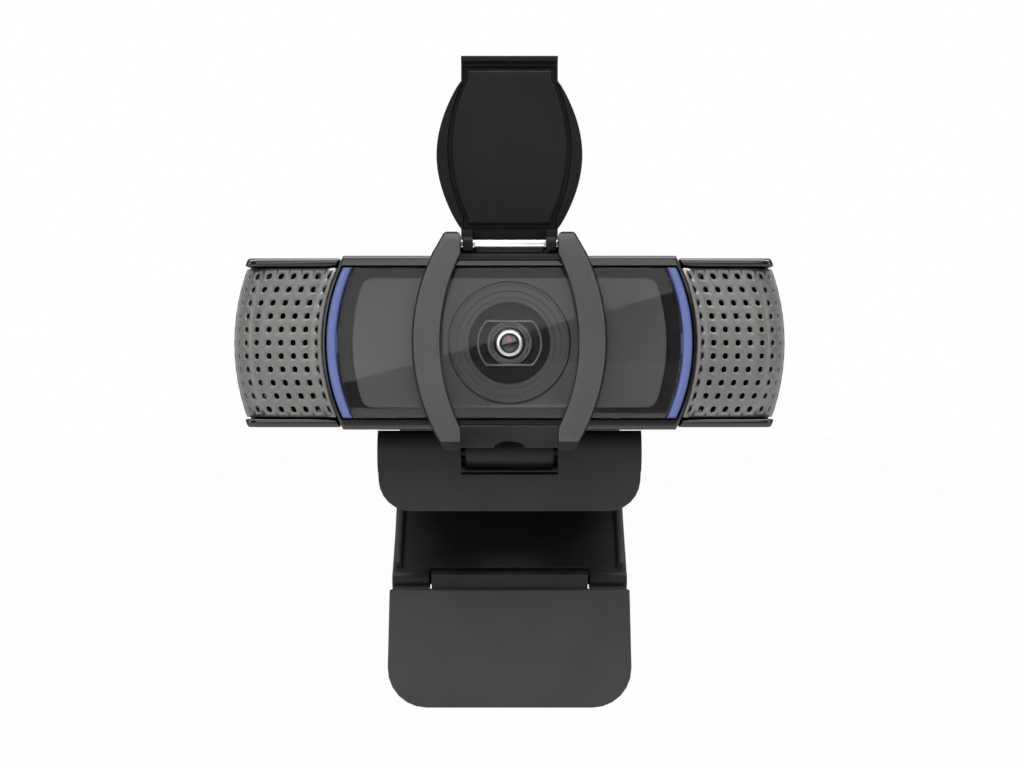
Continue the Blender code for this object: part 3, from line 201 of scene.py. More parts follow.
def drift_group() -> bpy.types.NodeTree:
    """Make the slow drift between two tones of one paint or plastic.

    Returns:
        The group, with a Colour output.
    """
    tree = new_group("tone_drift",
                     [("Place", "Vector", 0.0), ("Scale", "Float", 60.0),
                      ("Tone", "Color", 0.0), ("Second tone", "Color", 0.0)],
                     [("Colour", "Color")])
    given, out = tree.nodes["In"], tree.nodes["Out"]
    cloud = tree.nodes.new("ShaderNodeTexNoise")
    cloud.inputs["Detail"].default_value = 4.0
    share, first, second, mixed = colour_mix(tree)
    link = tree.links.new
    link(given.outputs["Place"], cloud.inputs["Vector"])
    link(given.outputs["Scale"], cloud.inputs["Scale"])
    link(ramp(tree, cloud.outputs["Fac"], 0.35, 0.65), share)
    link(given.outputs["Tone"], first)
    link(given.outputs["Second tone"], second)
    link(mixed, out.inputs["Colour"])
    return tree


def handling_group() -> bpy.types.NodeTree:
    """Make the faint smears and dust that handling leaves on a surface.

    Returns:
        The group, with Roughness and Dust outputs.
    """
    tree = new_group("handling_marks",
                     [("Place", "Vector", 0.0), ("Clean", "Float", 0.2),
                      ("Smeared", "Float", 0.4)],
                     [("Roughness", "Float"), ("Dust", "Float")])
    given, out = tree.nodes["In"], tree.nodes["Out"]
    link = tree.links.new
    smear = tree.nodes.new("ShaderNodeTexNoise")
    smear.inputs["Scale"].default_value = 140.0
    smear.inputs["Detail"].default_value = 5.0
    smear.inputs["Distortion"].default_value = 0.8
    specks = tree.nodes.new("ShaderNodeTexVoronoi")
    specks.inputs["Scale"].default_value = 900.0
    for node in (smear, specks):
        link(given.outputs["Place"], node.inputs["Vector"])
    level = tree.nodes.new("ShaderNodeMix")
    link(ramp(tree, smear.outputs["Fac"], 0.4, 0.7), level.inputs["Factor"])
    link(given.outputs["Clean"], level.inputs["A"])
    link(given.outputs["Smeared"], level.inputs["B"])
    link(level.outputs["Result"], out.inputs["Roughness"])
    link(ramp(tree, specks.outputs["Distance"], 0.04, 0.1, 1.0, 0.0),
         out.inputs["Dust"])
    return tree


GRAIN = grain_group()
DRIFT = drift_group()
HANDLING = handling_group()


def place_group(tree: bpy.types.NodeTree, group: bpy.types.NodeTree,
                place: bpy.types.NodeSocket,
                **values: float | Colour) -> bpy.types.Node:
    """Put a shared group into a material.

    Args:
        tree: The material's node tree.
        group: The shared group.
        place: The coordinate that the group reads.
        values: The group's own values, with "_" for a space in a name.

    Returns:
        The group's node.
    """
    node = tree.nodes.new("ShaderNodeGroup")
    node.node_tree = group
    tree.links.new(place, node.inputs["Place"])
    for label, value in values.items():
        socket = node.inputs[label.replace("_", " ")]
        socket.default_value = (*value, 1.0) if isinstance(value, tuple) else value
    return node


def start_material(name: str) -> tuple[bpy.types.Material, bpy.types.NodeTree,
                                       bpy.types.Node, bpy.types.NodeSocket]:
    """Start a material with its Principled shader and Object coordinates.

    Args:
        name: The material's name.

    Returns:
        The material, its node tree, its shader and the coordinate socket.
    """
    paint = bpy.data.materials.new(name)
    paint.use_nodes = True
    tree = paint.node_tree
    place = tree.nodes.new("ShaderNodeTexCoord").outputs["Object"]
    return paint, tree, tree.nodes["Principled BSDF"], place


@dataclass(frozen=True)
class Finish:
    """A solid finish: plastic, paint, rubber or metal with grain and drift."""

    name: str
    slot: Slot
    tone: Colour
    second_tone: Colour
    clean: float = 0.3
    smeared: float = 0.4
    grain_scale: float = 2500.0
    grain_depth: float = 0.00002
    waviness: float = 0.2
    drift_scale: float = 60.0
    metallic: float = 0.0
    coat: float = 0.0
    specular: float = 0.5

    def build(self) -> bpy.types.Material:
        """Make the material.

        Returns:
            The new material, on Object coordinates.
        """
        paint, tree, shader, place = start_material(self.name)
        drift = place_group(tree, DRIFT, place, Scale=self.drift_scale,
                            Tone=self.tone, Second_tone=self.second_tone)
        marks = place_group(tree, HANDLING, place, Clean=self.clean,
                            Smeared=self.smeared)
        grain = place_group(tree, GRAIN, place, Scale=self.grain_scale,
                            Waviness=self.waviness)
        bump = tree.nodes.new("ShaderNodeBump")
        bump.inputs["Strength"].default_value = 0.6
        bump.inputs["Distance"].default_value = self.grain_depth
        link = tree.links.new
        link(drift.outputs["Colour"], shader.inputs["Base Color"])
        link(marks.outputs["Roughness"], shader.inputs["Roughness"])
        link(grain.outputs["Height"], bump.inputs["Height"])
        link(bump.outputs["Normal"], shader.inputs["Normal"])
        shader.inputs["Metallic"].default_value = self.metallic
        shader.inputs["Coat Weight"].default_value = self.coat
        shader.inputs["Coat Roughness"].default_value = 0.05
        shader.inputs["Specular IOR Level"].default_value = self.specular
        self.add_detail(tree, shader, place)
        return paint

    def add_detail(self, tree: bpy.types.NodeTree, shader: bpy.types.Node,
                   place: bpy.types.NodeSocket) -> None:
        """Add what only one kind of finish has; a plain one adds nothing."""


@dataclass(frozen=True)
class BrushedFinish(Finish):
    """A turned or brushed metal, with fine lines across one direction."""

    stretch: Colour = (1.0, 40.0, 40.0)

    def add_detail(self, tree: bpy.types.NodeTree, shader: bpy.types.Node,
                   place: bpy.types.NodeSocket) -> None:
        """Replace the grain by long brushed lines.

        Args:
            tree: The material's node tree.
            shader: Its Principled shader.
            place: The Object coordinate.
        """
        turn = tree.nodes.new("ShaderNodeMapping")
        turn.inputs["Scale"].default_value = self.stretch
        lines = tree.nodes.new("ShaderNodeTexNoise")
        lines.inputs["Scale"].default_value = 120.0
        bump = tree.nodes.new("ShaderNodeBump")
        bump.inputs["Strength"].default_value = 0.5
        bump.inputs["Distance"].default_value = self.grain_depth
        link = tree.links.new
        link(place, turn.inputs["Vector"])
        link(turn.outputs["Vector"], lines.inputs["Vector"])
        link(lines.outputs["Fac"], bump.inputs["Height"])
        link(bump.outputs["Normal"], shader.inputs["Normal"])


@dataclass(frozen=True)
class LitFinish(Finish):
    """A coloured light strip or lamp that glows faintly."""

    glow: float = 0.0

    def add_detail(self, tree: bpy.types.NodeTree, shader: bpy.types.Node,
                   place: bpy.types.NodeSocket) -> None:
        """Give the strip the faint glow of the lamp behind it."""
        shader.inputs["Emission Color"].default_value = (*self.tone, 1.0)
        shader.inputs["Emission Strength"].default_value = self.glow
        shader.inputs["Subsurface Weight"].default_value = 0.0


@dataclass(frozen=True)
class GlassFinish:
    """Clear glass or plastic that lets lamps through to what is behind it."""

    name: str
    slot: Slot
    tone: Colour
    roughness: float = 0.02
    ior: float = 1.3

    def build(self) -> bpy.types.Material:
        """Make the material.

        Returns:
            The new material, a Principled shader that rays from lamps pass.
        """
        glass, tree, shader, place = start_material(self.name)
        shader.inputs["Base Color"].default_value = (*self.tone, 1.0)
        shader.inputs["Transmission Weight"].default_value = 1.0
        shader.inputs["IOR"].default_value = self.ior
        marks = place_group(tree, HANDLING, place, Clean=self.roughness,
                            Smeared=self.roughness * 2.5)
        path = tree.nodes.new("ShaderNodeLightPath")
        clear = tree.nodes.new("ShaderNodeBsdfTransparent")
        clear.inputs["Color"].default_value = (*self.tone, 1.0)
        either = tree.nodes.new("ShaderNodeMixShader")
        link = tree.links.new
        link(marks.outputs["Roughness"], shader.inputs["Roughness"])
        link(path.outputs["Is Shadow Ray"], either.inputs[0])
        link(shader.outputs["BSDF"], either.inputs[1])
        link(clear.outputs["BSDF"], either.inputs[2])
        link(either.outputs["Shader"],
             tree.nodes["Material Output"].inputs["Surface"])
        return glass


@dataclass(frozen=True)
class CoatedLensFinish:
    """Dark lens glass with a magenta reflection painted above the middle and a faint
    painted glow.
    """

    name: str
    slot: Slot
    # Colour, place and size of the painted reflection of the lamps in the coating.
    painted_reflection: Colour
    painted_reflection_place: Colour
    painted_reflection_size: Colour
    depths: Colour = (0.004, 0.004, 0.005)
    # Strength of the painted glow.
    glow: float = 0.45

    def build(self) -> bpy.types.Material:
        """Make the material.

        Returns:
            The new material: near-black glass with a soft painted reflection and a
                faint painted glow.
        """
        glass, tree, shader, place = start_material(self.name)
        # Painted reflection: a magenta spot fixed above the lens middle stands in
        # for the coating's reflection of the lamps.
        painted_reflection_spot = tree.nodes.new("ShaderNodeMapping")
        painted_reflection_spot.vector_type = "TEXTURE"
        painted_reflection_spot.inputs["Location"].default_value = self.painted_reflection_place
        painted_reflection_spot.inputs["Scale"].default_value = self.painted_reflection_size
        length = tree.nodes.new("ShaderNodeVectorMath")
        length.operation = "LENGTH"
        share, first, second, mixed = colour_mix(tree)
        first.default_value = (*self.painted_reflection, 1.0)
        second.default_value = (*self.depths, 1.0)
        marks = place_group(tree, HANDLING, place, Clean=0.02, Smeared=0.05)
        link = tree.links.new
        link(place, painted_reflection_spot.inputs["Vector"])
        link(painted_reflection_spot.outputs["Vector"], length.inputs[0])
        link(ramp(tree, length.outputs["Value"], 0.35, 1.1), share)
        link(mixed, shader.inputs["Base Color"])
        link(mixed, shader.inputs["Emission Color"])
        link(marks.outputs["Roughness"], shader.inputs["Roughness"])
        # Painted glow: the element glows faintly, though it is no lamp.
        shader.inputs["Emission Strength"].default_value = self.glow
        shader.inputs["Coat Weight"].default_value = 1.0
        shader.inputs["Coat Roughness"].default_value = 0.02
        return glass


# --------------------------------------------------------------------------
# Outlines and shaping tools


def bow(mid: float, height: float, radius: float) -> float:
    """Return where an upright arc stands at a height above its middle."""
    return mid - radius + math.sqrt(radius * radius - height * height)


def bow_radius(half_height: float, rise: float) -> float:
    """Return the radius of an arc from its half chord and its rise."""
    return (half_height ** 2 + rise ** 2) / (2 * rise)


def mirrored(points: Sequence[Point2]) -> list[Point2]:
    """Return the outline's other half, mirrored left to right and reversed."""
    return [(-x, z) for x, z in reversed(points)]


def inset(points: Sequence[Point2], distance: float) -> list[Point2]:
    """Move an outline inwards by one distance all round.

    Args:
        points: A closed outline.
        distance: How far inwards.

    Returns:
        The new outline, with as many points.
    """
    count = len(points)
    area = sum(points[i - 1][0] * points[i][1] - points[i][0] * points[i - 1][1]
               for i in range(count))
    turn = 1.0 if area > 0 else -1.0
    moved = []
    for i, (x, z) in enumerate(points):
        before, after = points[i - 1], points[(i + 1) % count]
        first = Vector((x - before[0], z - before[1]))
        second = Vector((after[0] - x, after[1] - z))
        if first.length < 1e-9 or second.length < 1e-9:
            first = second = first + second
        normal_a = Vector((-first.y, first.x)).normalized() * turn
        normal_b = Vector((-second.y, second.x)).normalized() * turn
        bisector = normal_a + normal_b
        reach = distance / max(0.35, 0.5 * bisector.length_squared)
        moved.append((x + bisector.x * reach, z + bisector.y * reach))
    return moved


def bowed(middle: float, half: float, radius: float, centre_z: float,
          steps: int = 24) -> list[Point2]:
    """Draw an outline with straight top and bottom and bowed sides.

    Args:
        middle: Half its width at mid height.
        half: Half its height.
        radius: Radius of the bow.
        centre_z: Height of its middle.
        steps: Steps up each side.

    Returns:
        The outline.
    """
    right = []
    for k in range(steps + 1):
        height = half * (2 * k / steps - 1)
        right.append((bow(middle, height, radius), centre_z + height))
    return right + mirrored(right)


def squeeze(points: Sequence[Point2], drop: float, side_share: float,
            centre_z: float) -> list[Point2]:
    """Draw an outline in from above and below, and less from its sides.

    Args:
        points: The outline.
        drop: How far its top and bottom come in.
        side_share: The share of that by which its sides come in.
        centre_z: Height of its middle.

    Returns:
        The new outline.
    """
    half = max(z for _, z in points) - centre_z
    scale = (half - drop) / half
    return [(x - math.copysign(drop * side_share, x),
             centre_z + (z - centre_z) * scale) for x, z in points]


def stand(points: Sequence[Point2], y: float) -> Loop:
    """Stand an outline up at a depth, facing the front."""
    return [Vector((x, y, z)) for x, z in points]


def circle(radius: float, centre_z: float, steps: int = 64,
           flat: Optional[float] = None) -> list[Point2]:
    """Return a circle, cut flat above and below if asked.

    Args:
        radius: Its radius.
        centre_z: Height of its centre.
        steps: How many points.
        flat: Height of the two flats above and below the centre, or None.

    Returns:
        The outline.
    """
    limit = radius if flat is None else flat
    result = []
    for k in range(steps):
        angle = 2 * math.pi * k / steps
        rise = max(-limit, min(limit, radius * math.sin(angle)))
        result.append((radius * math.cos(angle), centre_z + rise))
    return result


def loft(bm: bmesh.types.BMesh, loops: Sequence[Loop],
         open_ends: bool = False) -> None:
    """Grow a solid through a row of loops by extruding one face.

    Args:
        bm: The mesh to add to.
        loops: Loops with equally many points.
        open_ends: Leave out the two end faces, as for a ring's wall.
    """
    face = bm.faces.new([bm.verts.new(co) for co in loops[0]])
    ends = [face]
    for here, there in zip(loops, loops[1:]):
        grown = bmesh.ops.extrude_face_region(bm, geom=[face])
        fresh = next(g for g in grown["geom"] if isinstance(g, bmesh.types.BMFace))
        free = list(range(len(here)))
        for vert in fresh.verts:
            best = min(free, key=lambda i: (here[i] - vert.co).length_squared)
            free.remove(best)
            vert.co = there[best]
        if face is not ends[0]:
            bmesh.ops.delete(bm, geom=[face], context="FACES_ONLY")
        face = fresh
    ends.append(face)
    if open_ends:
        bmesh.ops.delete(bm, geom=ends, context="FACES_ONLY")


def bridge(bm: bmesh.types.BMesh, *shapes: Loop) -> None:
    """Join two loops of equally many points with a strip of faces."""
    edges = []
    for shape in shapes:
        ring = [bm.verts.new(co) for co in shape]
        edges += [bm.edges.new((ring[i - 1], ring[i])) for i in range(len(ring))]
    bmesh.ops.bridge_loops(bm, edges=edges)


def plate(bm: bmesh.types.BMesh, outline: Sequence[Point2], front: float,
          back: float, edge: float, steps: int = 3, rear_edge: float = 0.0) -> None:
    """Make a plate whose front rim is rounded.

    Args:
        bm: The mesh to add to.
        outline: The plate's outline, seen from the front.
        front: Depth of its front face.
        back: Depth of its rear face.
        edge: Radius of the front rim.
        steps: Straight steps round the rim.
        rear_edge: Radius of the rear rim.
    """
    loops = []
    for k in range(steps + 1):
        angle = math.pi / 2 * k / steps
        loops.append(stand(inset(outline, edge * (1 - math.sin(angle))),
                           front + edge * (1 - math.cos(angle))))
    if rear_edge:
        loops.append(stand(outline, back - rear_edge))
    loops.append(stand(inset(outline, rear_edge), back))
    loft(bm, loops)


def spun(bm: bmesh.types.BMesh, profile: Sequence[Point2], centre_z: float,
         steps: int = 72, closed: bool = True) -> None:
    """Turn a profile about the lens axis.

    Args:
        bm: The mesh to add to.
        profile: Radius and depth of each point.
        centre_z: Height of the axis.
        steps: Faces in a full turn.
        closed: Join the last point to the first, as for a ring.
    """
    verts = [bm.verts.new((radius, y, centre_z)) for radius, y in profile]
    pairs = list(zip(verts, verts[1:]))
    if closed:
        pairs.append((verts[-1], verts[0]))
    edges = [bm.edges.new(pair) for pair in pairs]
    bmesh.ops.spin(bm, geom=verts + edges, cent=(0, 0, centre_z), axis=(0, 1, 0),
                   angle=2 * math.pi, steps=steps, use_merge=True)


def rod(bm: bmesh.types.BMesh, radius: float, low: float, high: float, y: float,
        z: float, chamfer: float, steps: int = 32) -> None:
    """Make a pin along X with a chamfer at both ends."""
    made = bmesh.ops.create_cone(bm, cap_ends=True, segments=steps, radius1=radius,
                                 radius2=radius, depth=high - low)
    turn = Matrix.Translation(((low + high) / 2, y, z)) @ Matrix.Rotation(
        math.pi / 2, 4, "Y")
    bmesh.ops.transform(bm, matrix=turn, verts=made["verts"])
    rims = [e for v in made["verts"] for e in v.link_edges
            if abs(e.verts[0].co.x - e.verts[1].co.x) < 1e-7]
    bmesh.ops.bevel(bm, geom=list(set(rims)), offset=chamfer, segments=2,
                    profile=0.5, affect="EDGES", material=-1)


@dataclass
class Workshop:
    """Turns meshes into finished pieces and keeps count of them."""

    paints: dict[str, bpy.types.Material]
    count: int = 0

    def finish(self, name: str, bm: bmesh.types.BMesh, body: Body, slot: Slot,
               paints: Sequence[str], nodes: Sequence[str] = (),
               angle: float = 32.0, recalculate: bool = True) -> bpy.types.Object:
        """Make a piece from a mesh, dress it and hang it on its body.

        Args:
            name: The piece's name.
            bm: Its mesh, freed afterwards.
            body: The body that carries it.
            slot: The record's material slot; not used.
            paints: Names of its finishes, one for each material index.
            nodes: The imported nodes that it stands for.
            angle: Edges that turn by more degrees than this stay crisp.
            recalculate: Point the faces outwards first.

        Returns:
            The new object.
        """
        bmesh.ops.remove_doubles(bm, verts=bm.verts, dist=0.001 * MM)
        if recalculate:
            bmesh.ops.recalc_face_normals(bm, faces=bm.faces)
        mesh = bpy.data.meshes.new(name)
        bm.to_mesh(mesh)
        bm.free()
        for paint in paints:
            mesh.materials.append(self.paints[paint])
        for polygon in mesh.polygons:
            polygon.use_smooth = True
        mesh.set_sharp_from_angle(angle=math.radians(angle))
        obj = bpy.data.objects.new(name, mesh)
        bpy.context.scene.collection.objects.link(obj)
        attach(obj, body.value)
        if nodes:
            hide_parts(*nodes)
        self.count += 1
        LOG.info("made %s: %d faces", name, len(mesh.polygons))
        return obj

    def rounded(self, node: str, name: str, body: Body, slot: Slot, paint: str,
                width: float, steps: int = 2, angle: float = 35.0,
                where: Optional[Callable[[Vector], bool]] = None
                ) -> bpy.types.Object:
        """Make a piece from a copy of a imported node, with its edges rounded.

        Args:
            node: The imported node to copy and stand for.
            name: The piece's name.
            body: The body that carries it.
            slot: The record's material slot.
            paint: Name of its finish.
            width: Width of the rounded edges.
            steps: Steps across each edge.
            angle: Only edges that turn by more degrees than this are rounded.
            where: A test of an edge's middle; edges that fail it stay crisp.

        Returns:
            The new object.
        """
        bm = bmesh.new()
        bm.from_mesh(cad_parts[node].data)
        bmesh.ops.remove_doubles(bm, verts=bm.verts, dist=0.002 * MM)
        bmesh.ops.dissolve_limit(bm, angle_limit=math.radians(0.6),
                                 verts=bm.verts, edges=bm.edges)
        sharp = []
        for edge in bm.edges:
            if len(edge.link_faces) != 2:
                continue
            middle = (edge.verts[0].co + edge.verts[1].co) / 2
            if (edge.calc_face_angle(0.0) > math.radians(angle)
                    and (where is None or where(middle))):
                sharp.append(edge)
        bmesh.ops.bevel(bm, geom=sharp, offset=width, offset_type="OFFSET",
                        segments=steps, profile=0.5, affect="EDGES",
                        clamp_overlap=False, material=-1)
        return self.finish(name, bm, body, slot, [paint], [node])

    def dress(self, paint: str, *nodes: str) -> None:
        """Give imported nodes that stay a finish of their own.

        Args:
            paint: Name of the finish.
            nodes: The nodes' names.
        """
        for node in nodes:
            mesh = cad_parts[node].data
            mesh.materials.clear()
            mesh.materials.append(self.paints[paint])
            LOG.info("dressed %s in %s", node, paint)


# --------------------------------------------------------------------------
# The head: housings, end caps, grilles and the window


@dataclass
class Head:
    """The camera body's outer shells."""

    shop: Workshop
    lens_z: float = 22.15 * MM
    edge: float = 0.35 * MM
    knuckle_radius: float = 3.25 * MM
    knuckle_half: float = 7.6 * MM
    knuckle_top_drop: float = 14.0 * MM

    def make_housings(self) -> None:
        """Make the front surround, the rear shell and the two end caps."""
        rounded = self.shop.rounded
        self.make_surround()
        rounded("rear_housing", "rear_shell", Body.HEAD, Slot.MATTE,
                "textured_black", 0.3 * MM, 3)
        for side in Side:
            word = side.name.lower()
            rounded(f"end_cap_{word}", f"end_trim_{word}", Body.HEAD, Slot.GLOSS,
                    "piano_black", self.edge, 3)

    def make_surround(self) -> None:
        """Make the glossy surround with its round-edged front rim."""
        outer = bowed(31.7 * MM, 14.65 * MM, 30.8 * MM, self.lens_z)
        inner = bowed(31.1 * MM, 13.0 * MM, 30.8 * MM, self.lens_z)
        front, rear, edge, steps = -22.0 * MM, -8.3 * MM, 0.75 * MM, 5
        loops = [stand(outer, rear)]
        for k in range(steps + 1):
            angle = math.pi / 2 * k / steps
            pulled = squeeze(outer, edge * (1 - math.cos(angle)), 0.3, self.lens_z)
            loops.append(stand(pulled, front + edge * (1 - math.sin(angle))))
        loops.append(stand(inner, front))
        loops.append(stand(inner, rear))
        bm = bmesh.new()
        loft(bm, loops, open_ends=True)
        bridge(bm, stand(outer, rear), stand(inner, rear))
        self.shop.finish("front_surround", bm, Body.HEAD, Slot.GLOSS,
                         ["piano_black"], ["front_housing"], angle=30.0)

    def make_knuckle(self) -> None:
        """Make the knuckle under the surround that the tilt pin runs through."""
        low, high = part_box("tilt_pin")
        y, z = (low.y + high.y) / 2, (low.z + high.z) / 2
        half, under = self.knuckle_half, self.lens_z - self.knuckle_top_drop
        bm = bmesh.new()
        rod(bm, self.knuckle_radius, -half, half, y, z, 0.3 * MM)
        web = [(-half, z), (half, z), (half, under), (-half, under)]
        plate(bm, web, y - 2.3 * MM, y + 1.5 * MM, 0.2 * MM, 2)
        self.shop.finish("tilt_knuckle", bm, Body.HEAD, Slot.GLOSS,
                         ["arm_black"], angle=40.0)

    def make(self) -> None:
        """Make every piece of the shells."""
        self.make_housings()
        self.make_knuckle()
        for side in Side:
            Grille(self.shop, side, self.lens_z).make()
        Window(self.shop, self.lens_z).make()


@dataclass
class Grille:
    """One perforated metal grille that wraps round an end of the body."""

    shop: Workshop
    side: Side
    lens_z: float
    row_pitch: float = 2.246 * MM
    column_pitch: float = 2.06 * MM
    rows: int = 11
    columns: int = 12
    hole: float = 0.84 * MM
    half_height: float = 12.55 * MM
    inner: float = 32.0 * MM
    flare_width: float = 3.4 * MM
    flare_rise: float = 1.7 * MM
    face: float = -20.0 * MM
    flat_end: float = 42.6 * MM
    end_width: float = 4.4 * MM
    end_depth: float = 6.6 * MM
    rear: float = -8.3 * MM
    inner_radius: float = 30.8 * MM
    end_radius: float = 37.4 * MM
    thickness: float = 0.6 * MM
    crown: float = 0.7 * MM

    def plan(self) -> list[Point2]:
        """Draw the grille's plan curve from its flared edge to the rear.

        Returns:
            Points of X and Y, close enough together to look round.
        """
        path = []
        for k in range(24):
            t = k / 24
            path.append((self.inner + self.flare_width * t,
                         self.face - self.flare_rise * (1 - t) ** 3.6))
        path.append((self.flat_end, self.face))
        for k in range(1, 25):
            angle = math.pi / 2 * k / 24
            path.append((self.flat_end + self.end_width * math.sin(angle),
                         self.face + self.end_depth * (1 - math.cos(angle))))
        path.append((self.flat_end + self.end_width, self.rear))
        return path

    def along(self, path: Sequence[Point2], reach: float) -> Point2:
        """Find the point at a distance along the plan curve.

        Args:
            path: The plan curve.
            reach: The distance from its start.

        Returns:
            X and Y of the point.
        """
        for (x0, y0), (x1, y1) in zip(path, path[1:]):
            step = math.hypot(x1 - x0, y1 - y0)
            if reach <= step:
                share = reach / step
                return x0 + (x1 - x0) * share, y0 + (y1 - y0) * share
            reach -= step
        return path[-1]

    def make(self) -> bpy.types.Object:
        """Punch a flat sheet, bend it round the end and give it thickness.

        Returns:
            The grille's object.
        """
        bm = bmesh.new()
        bmesh.ops.create_grid(bm, x_segments=self.columns, y_segments=self.rows,
                              size=0.5)
        bmesh.ops.scale(bm, vec=(self.columns * self.column_pitch,
                                 self.rows * self.row_pitch, 1.0), verts=bm.verts)
        punched = [f for f in bm.faces if f.calc_center_median().x
                   < (self.columns / 2 - 2) * self.column_pitch]
        margin = (min(self.row_pitch, self.column_pitch) - self.hole) / 2
        bmesh.ops.inset_individual(bm, faces=punched, thickness=margin,
                                   use_even_offset=True)
        rims = {v for f in punched for v in f.verts}
        bmesh.ops.bevel(bm, geom=list(rims), offset=0.29 * self.hole,
                        offset_type="OFFSET", segments=1, profile=0.5,
                        affect="VERTICES", material=-1)
        holes = [f for f in bm.faces if len(f.verts) >= 8
                 and f.calc_area() < 1.2 * self.hole ** 2]
        bmesh.ops.delete(bm, geom=holes, context="FACES_ONLY")
        self.bend(bm)
        if self.side is Side.LEFT:
            bmesh.ops.scale(bm, vec=(-1, 1, 1), verts=bm.verts)
            bmesh.ops.reverse_faces(bm, faces=bm.faces)
        word = self.side.name.lower()
        grille = self.shop.finish(f"punched_grille_{word}", bm, Body.HEAD,
                                  Slot.GRILLE, ["grille_paint"],
                                  [f"grille_{word}"], recalculate=False)
        wall = grille.modifiers.new("Wall", "SOLIDIFY")
        wall.thickness = self.thickness
        wall.offset = -1.0
        return grille

    def bend(self, bm: bmesh.types.BMesh) -> None:
        """Lay the flat sheet on the bowed, crowned surface of the end."""
        path = self.plan()
        total = sum(math.dist(a, b) for a, b in zip(path, path[1:]))
        half_sheet = self.rows * self.row_pitch / 2
        for vert in bm.verts:
            height = vert.co.y
            if abs(abs(height) - half_sheet) < 0.001 * MM:
                height = math.copysign(self.half_height, height)
            reach = vert.co.x + self.columns * self.column_pitch / 2
            last = self.columns * self.column_pitch
            if reach > last - self.column_pitch * 1.01:
                reach += (total - last) * (1 - (last - reach) / self.column_pitch)
            x, y = self.along(path, reach)
            share = max(0.0, min(1.0, (x - self.flat_end) / self.end_width))
            radius = self.inner_radius + share * (self.end_radius
                                                  - self.inner_radius)
            crown = self.crown * (1 - (height / self.half_height) ** 2) * (1 - share)
            vert.co = (bow(x, height, radius), y - crown, self.lens_z + height)
        if bm.faces[:][0].calc_center_median().x > 0:
            bm.normal_update()
            if sum(f.normal.y for f in bm.faces) > 0:
                bmesh.ops.reverse_faces(bm, faces=bm.faces)


@dataclass
class Window:
    """The clear window and the blue light strips beside it."""

    shop: Workshop
    lens_z: float
    half: float = 12.7 * MM
    middle: float = 29.0 * MM
    radius: float = 30.8 * MM

    def make(self) -> None:
        """Make the window and the two strips."""
        bm = bmesh.new()
        plate(bm, bowed(self.middle, self.half, self.radius, self.lens_z),
              -21.7 * MM, -20.6 * MM, 0.25 * MM)
        self.shop.finish("clear_window_plate", bm, Body.HEAD, Slot.WINDOW,
                         ["window_glass"], ["front_window"])
        for side in Side:
            self.make_strip(side)

    def make_strip(self, side: Side) -> None:
        """Make one blue light strip between the window and the grille."""
        outer, inner, half = 30.8 * MM, 29.3 * MM, 12.7 * MM
        outline = []
        for middle, turn in ((outer, 1), (inner, -1)):
            for k in range(25):
                height = turn * half * (2 * k / 24 - 1)
                outline.append((bow(middle, height, self.radius),
                                self.lens_z + height))
        if side is Side.LEFT:
            outline = mirrored(outline)
        bm = bmesh.new()
        plate(bm, outline, -21.9 * MM, -17.5 * MM, 0.4 * MM, 4)
        word = side.name.lower()
        self.shop.finish(f"light_strip_{word}", bm, Body.HEAD, Slot.LIGHT,
                         ["blue_strip"], [f"light_guide_{word}"])


# --------------------------------------------------------------------------
# The optics seen through the window


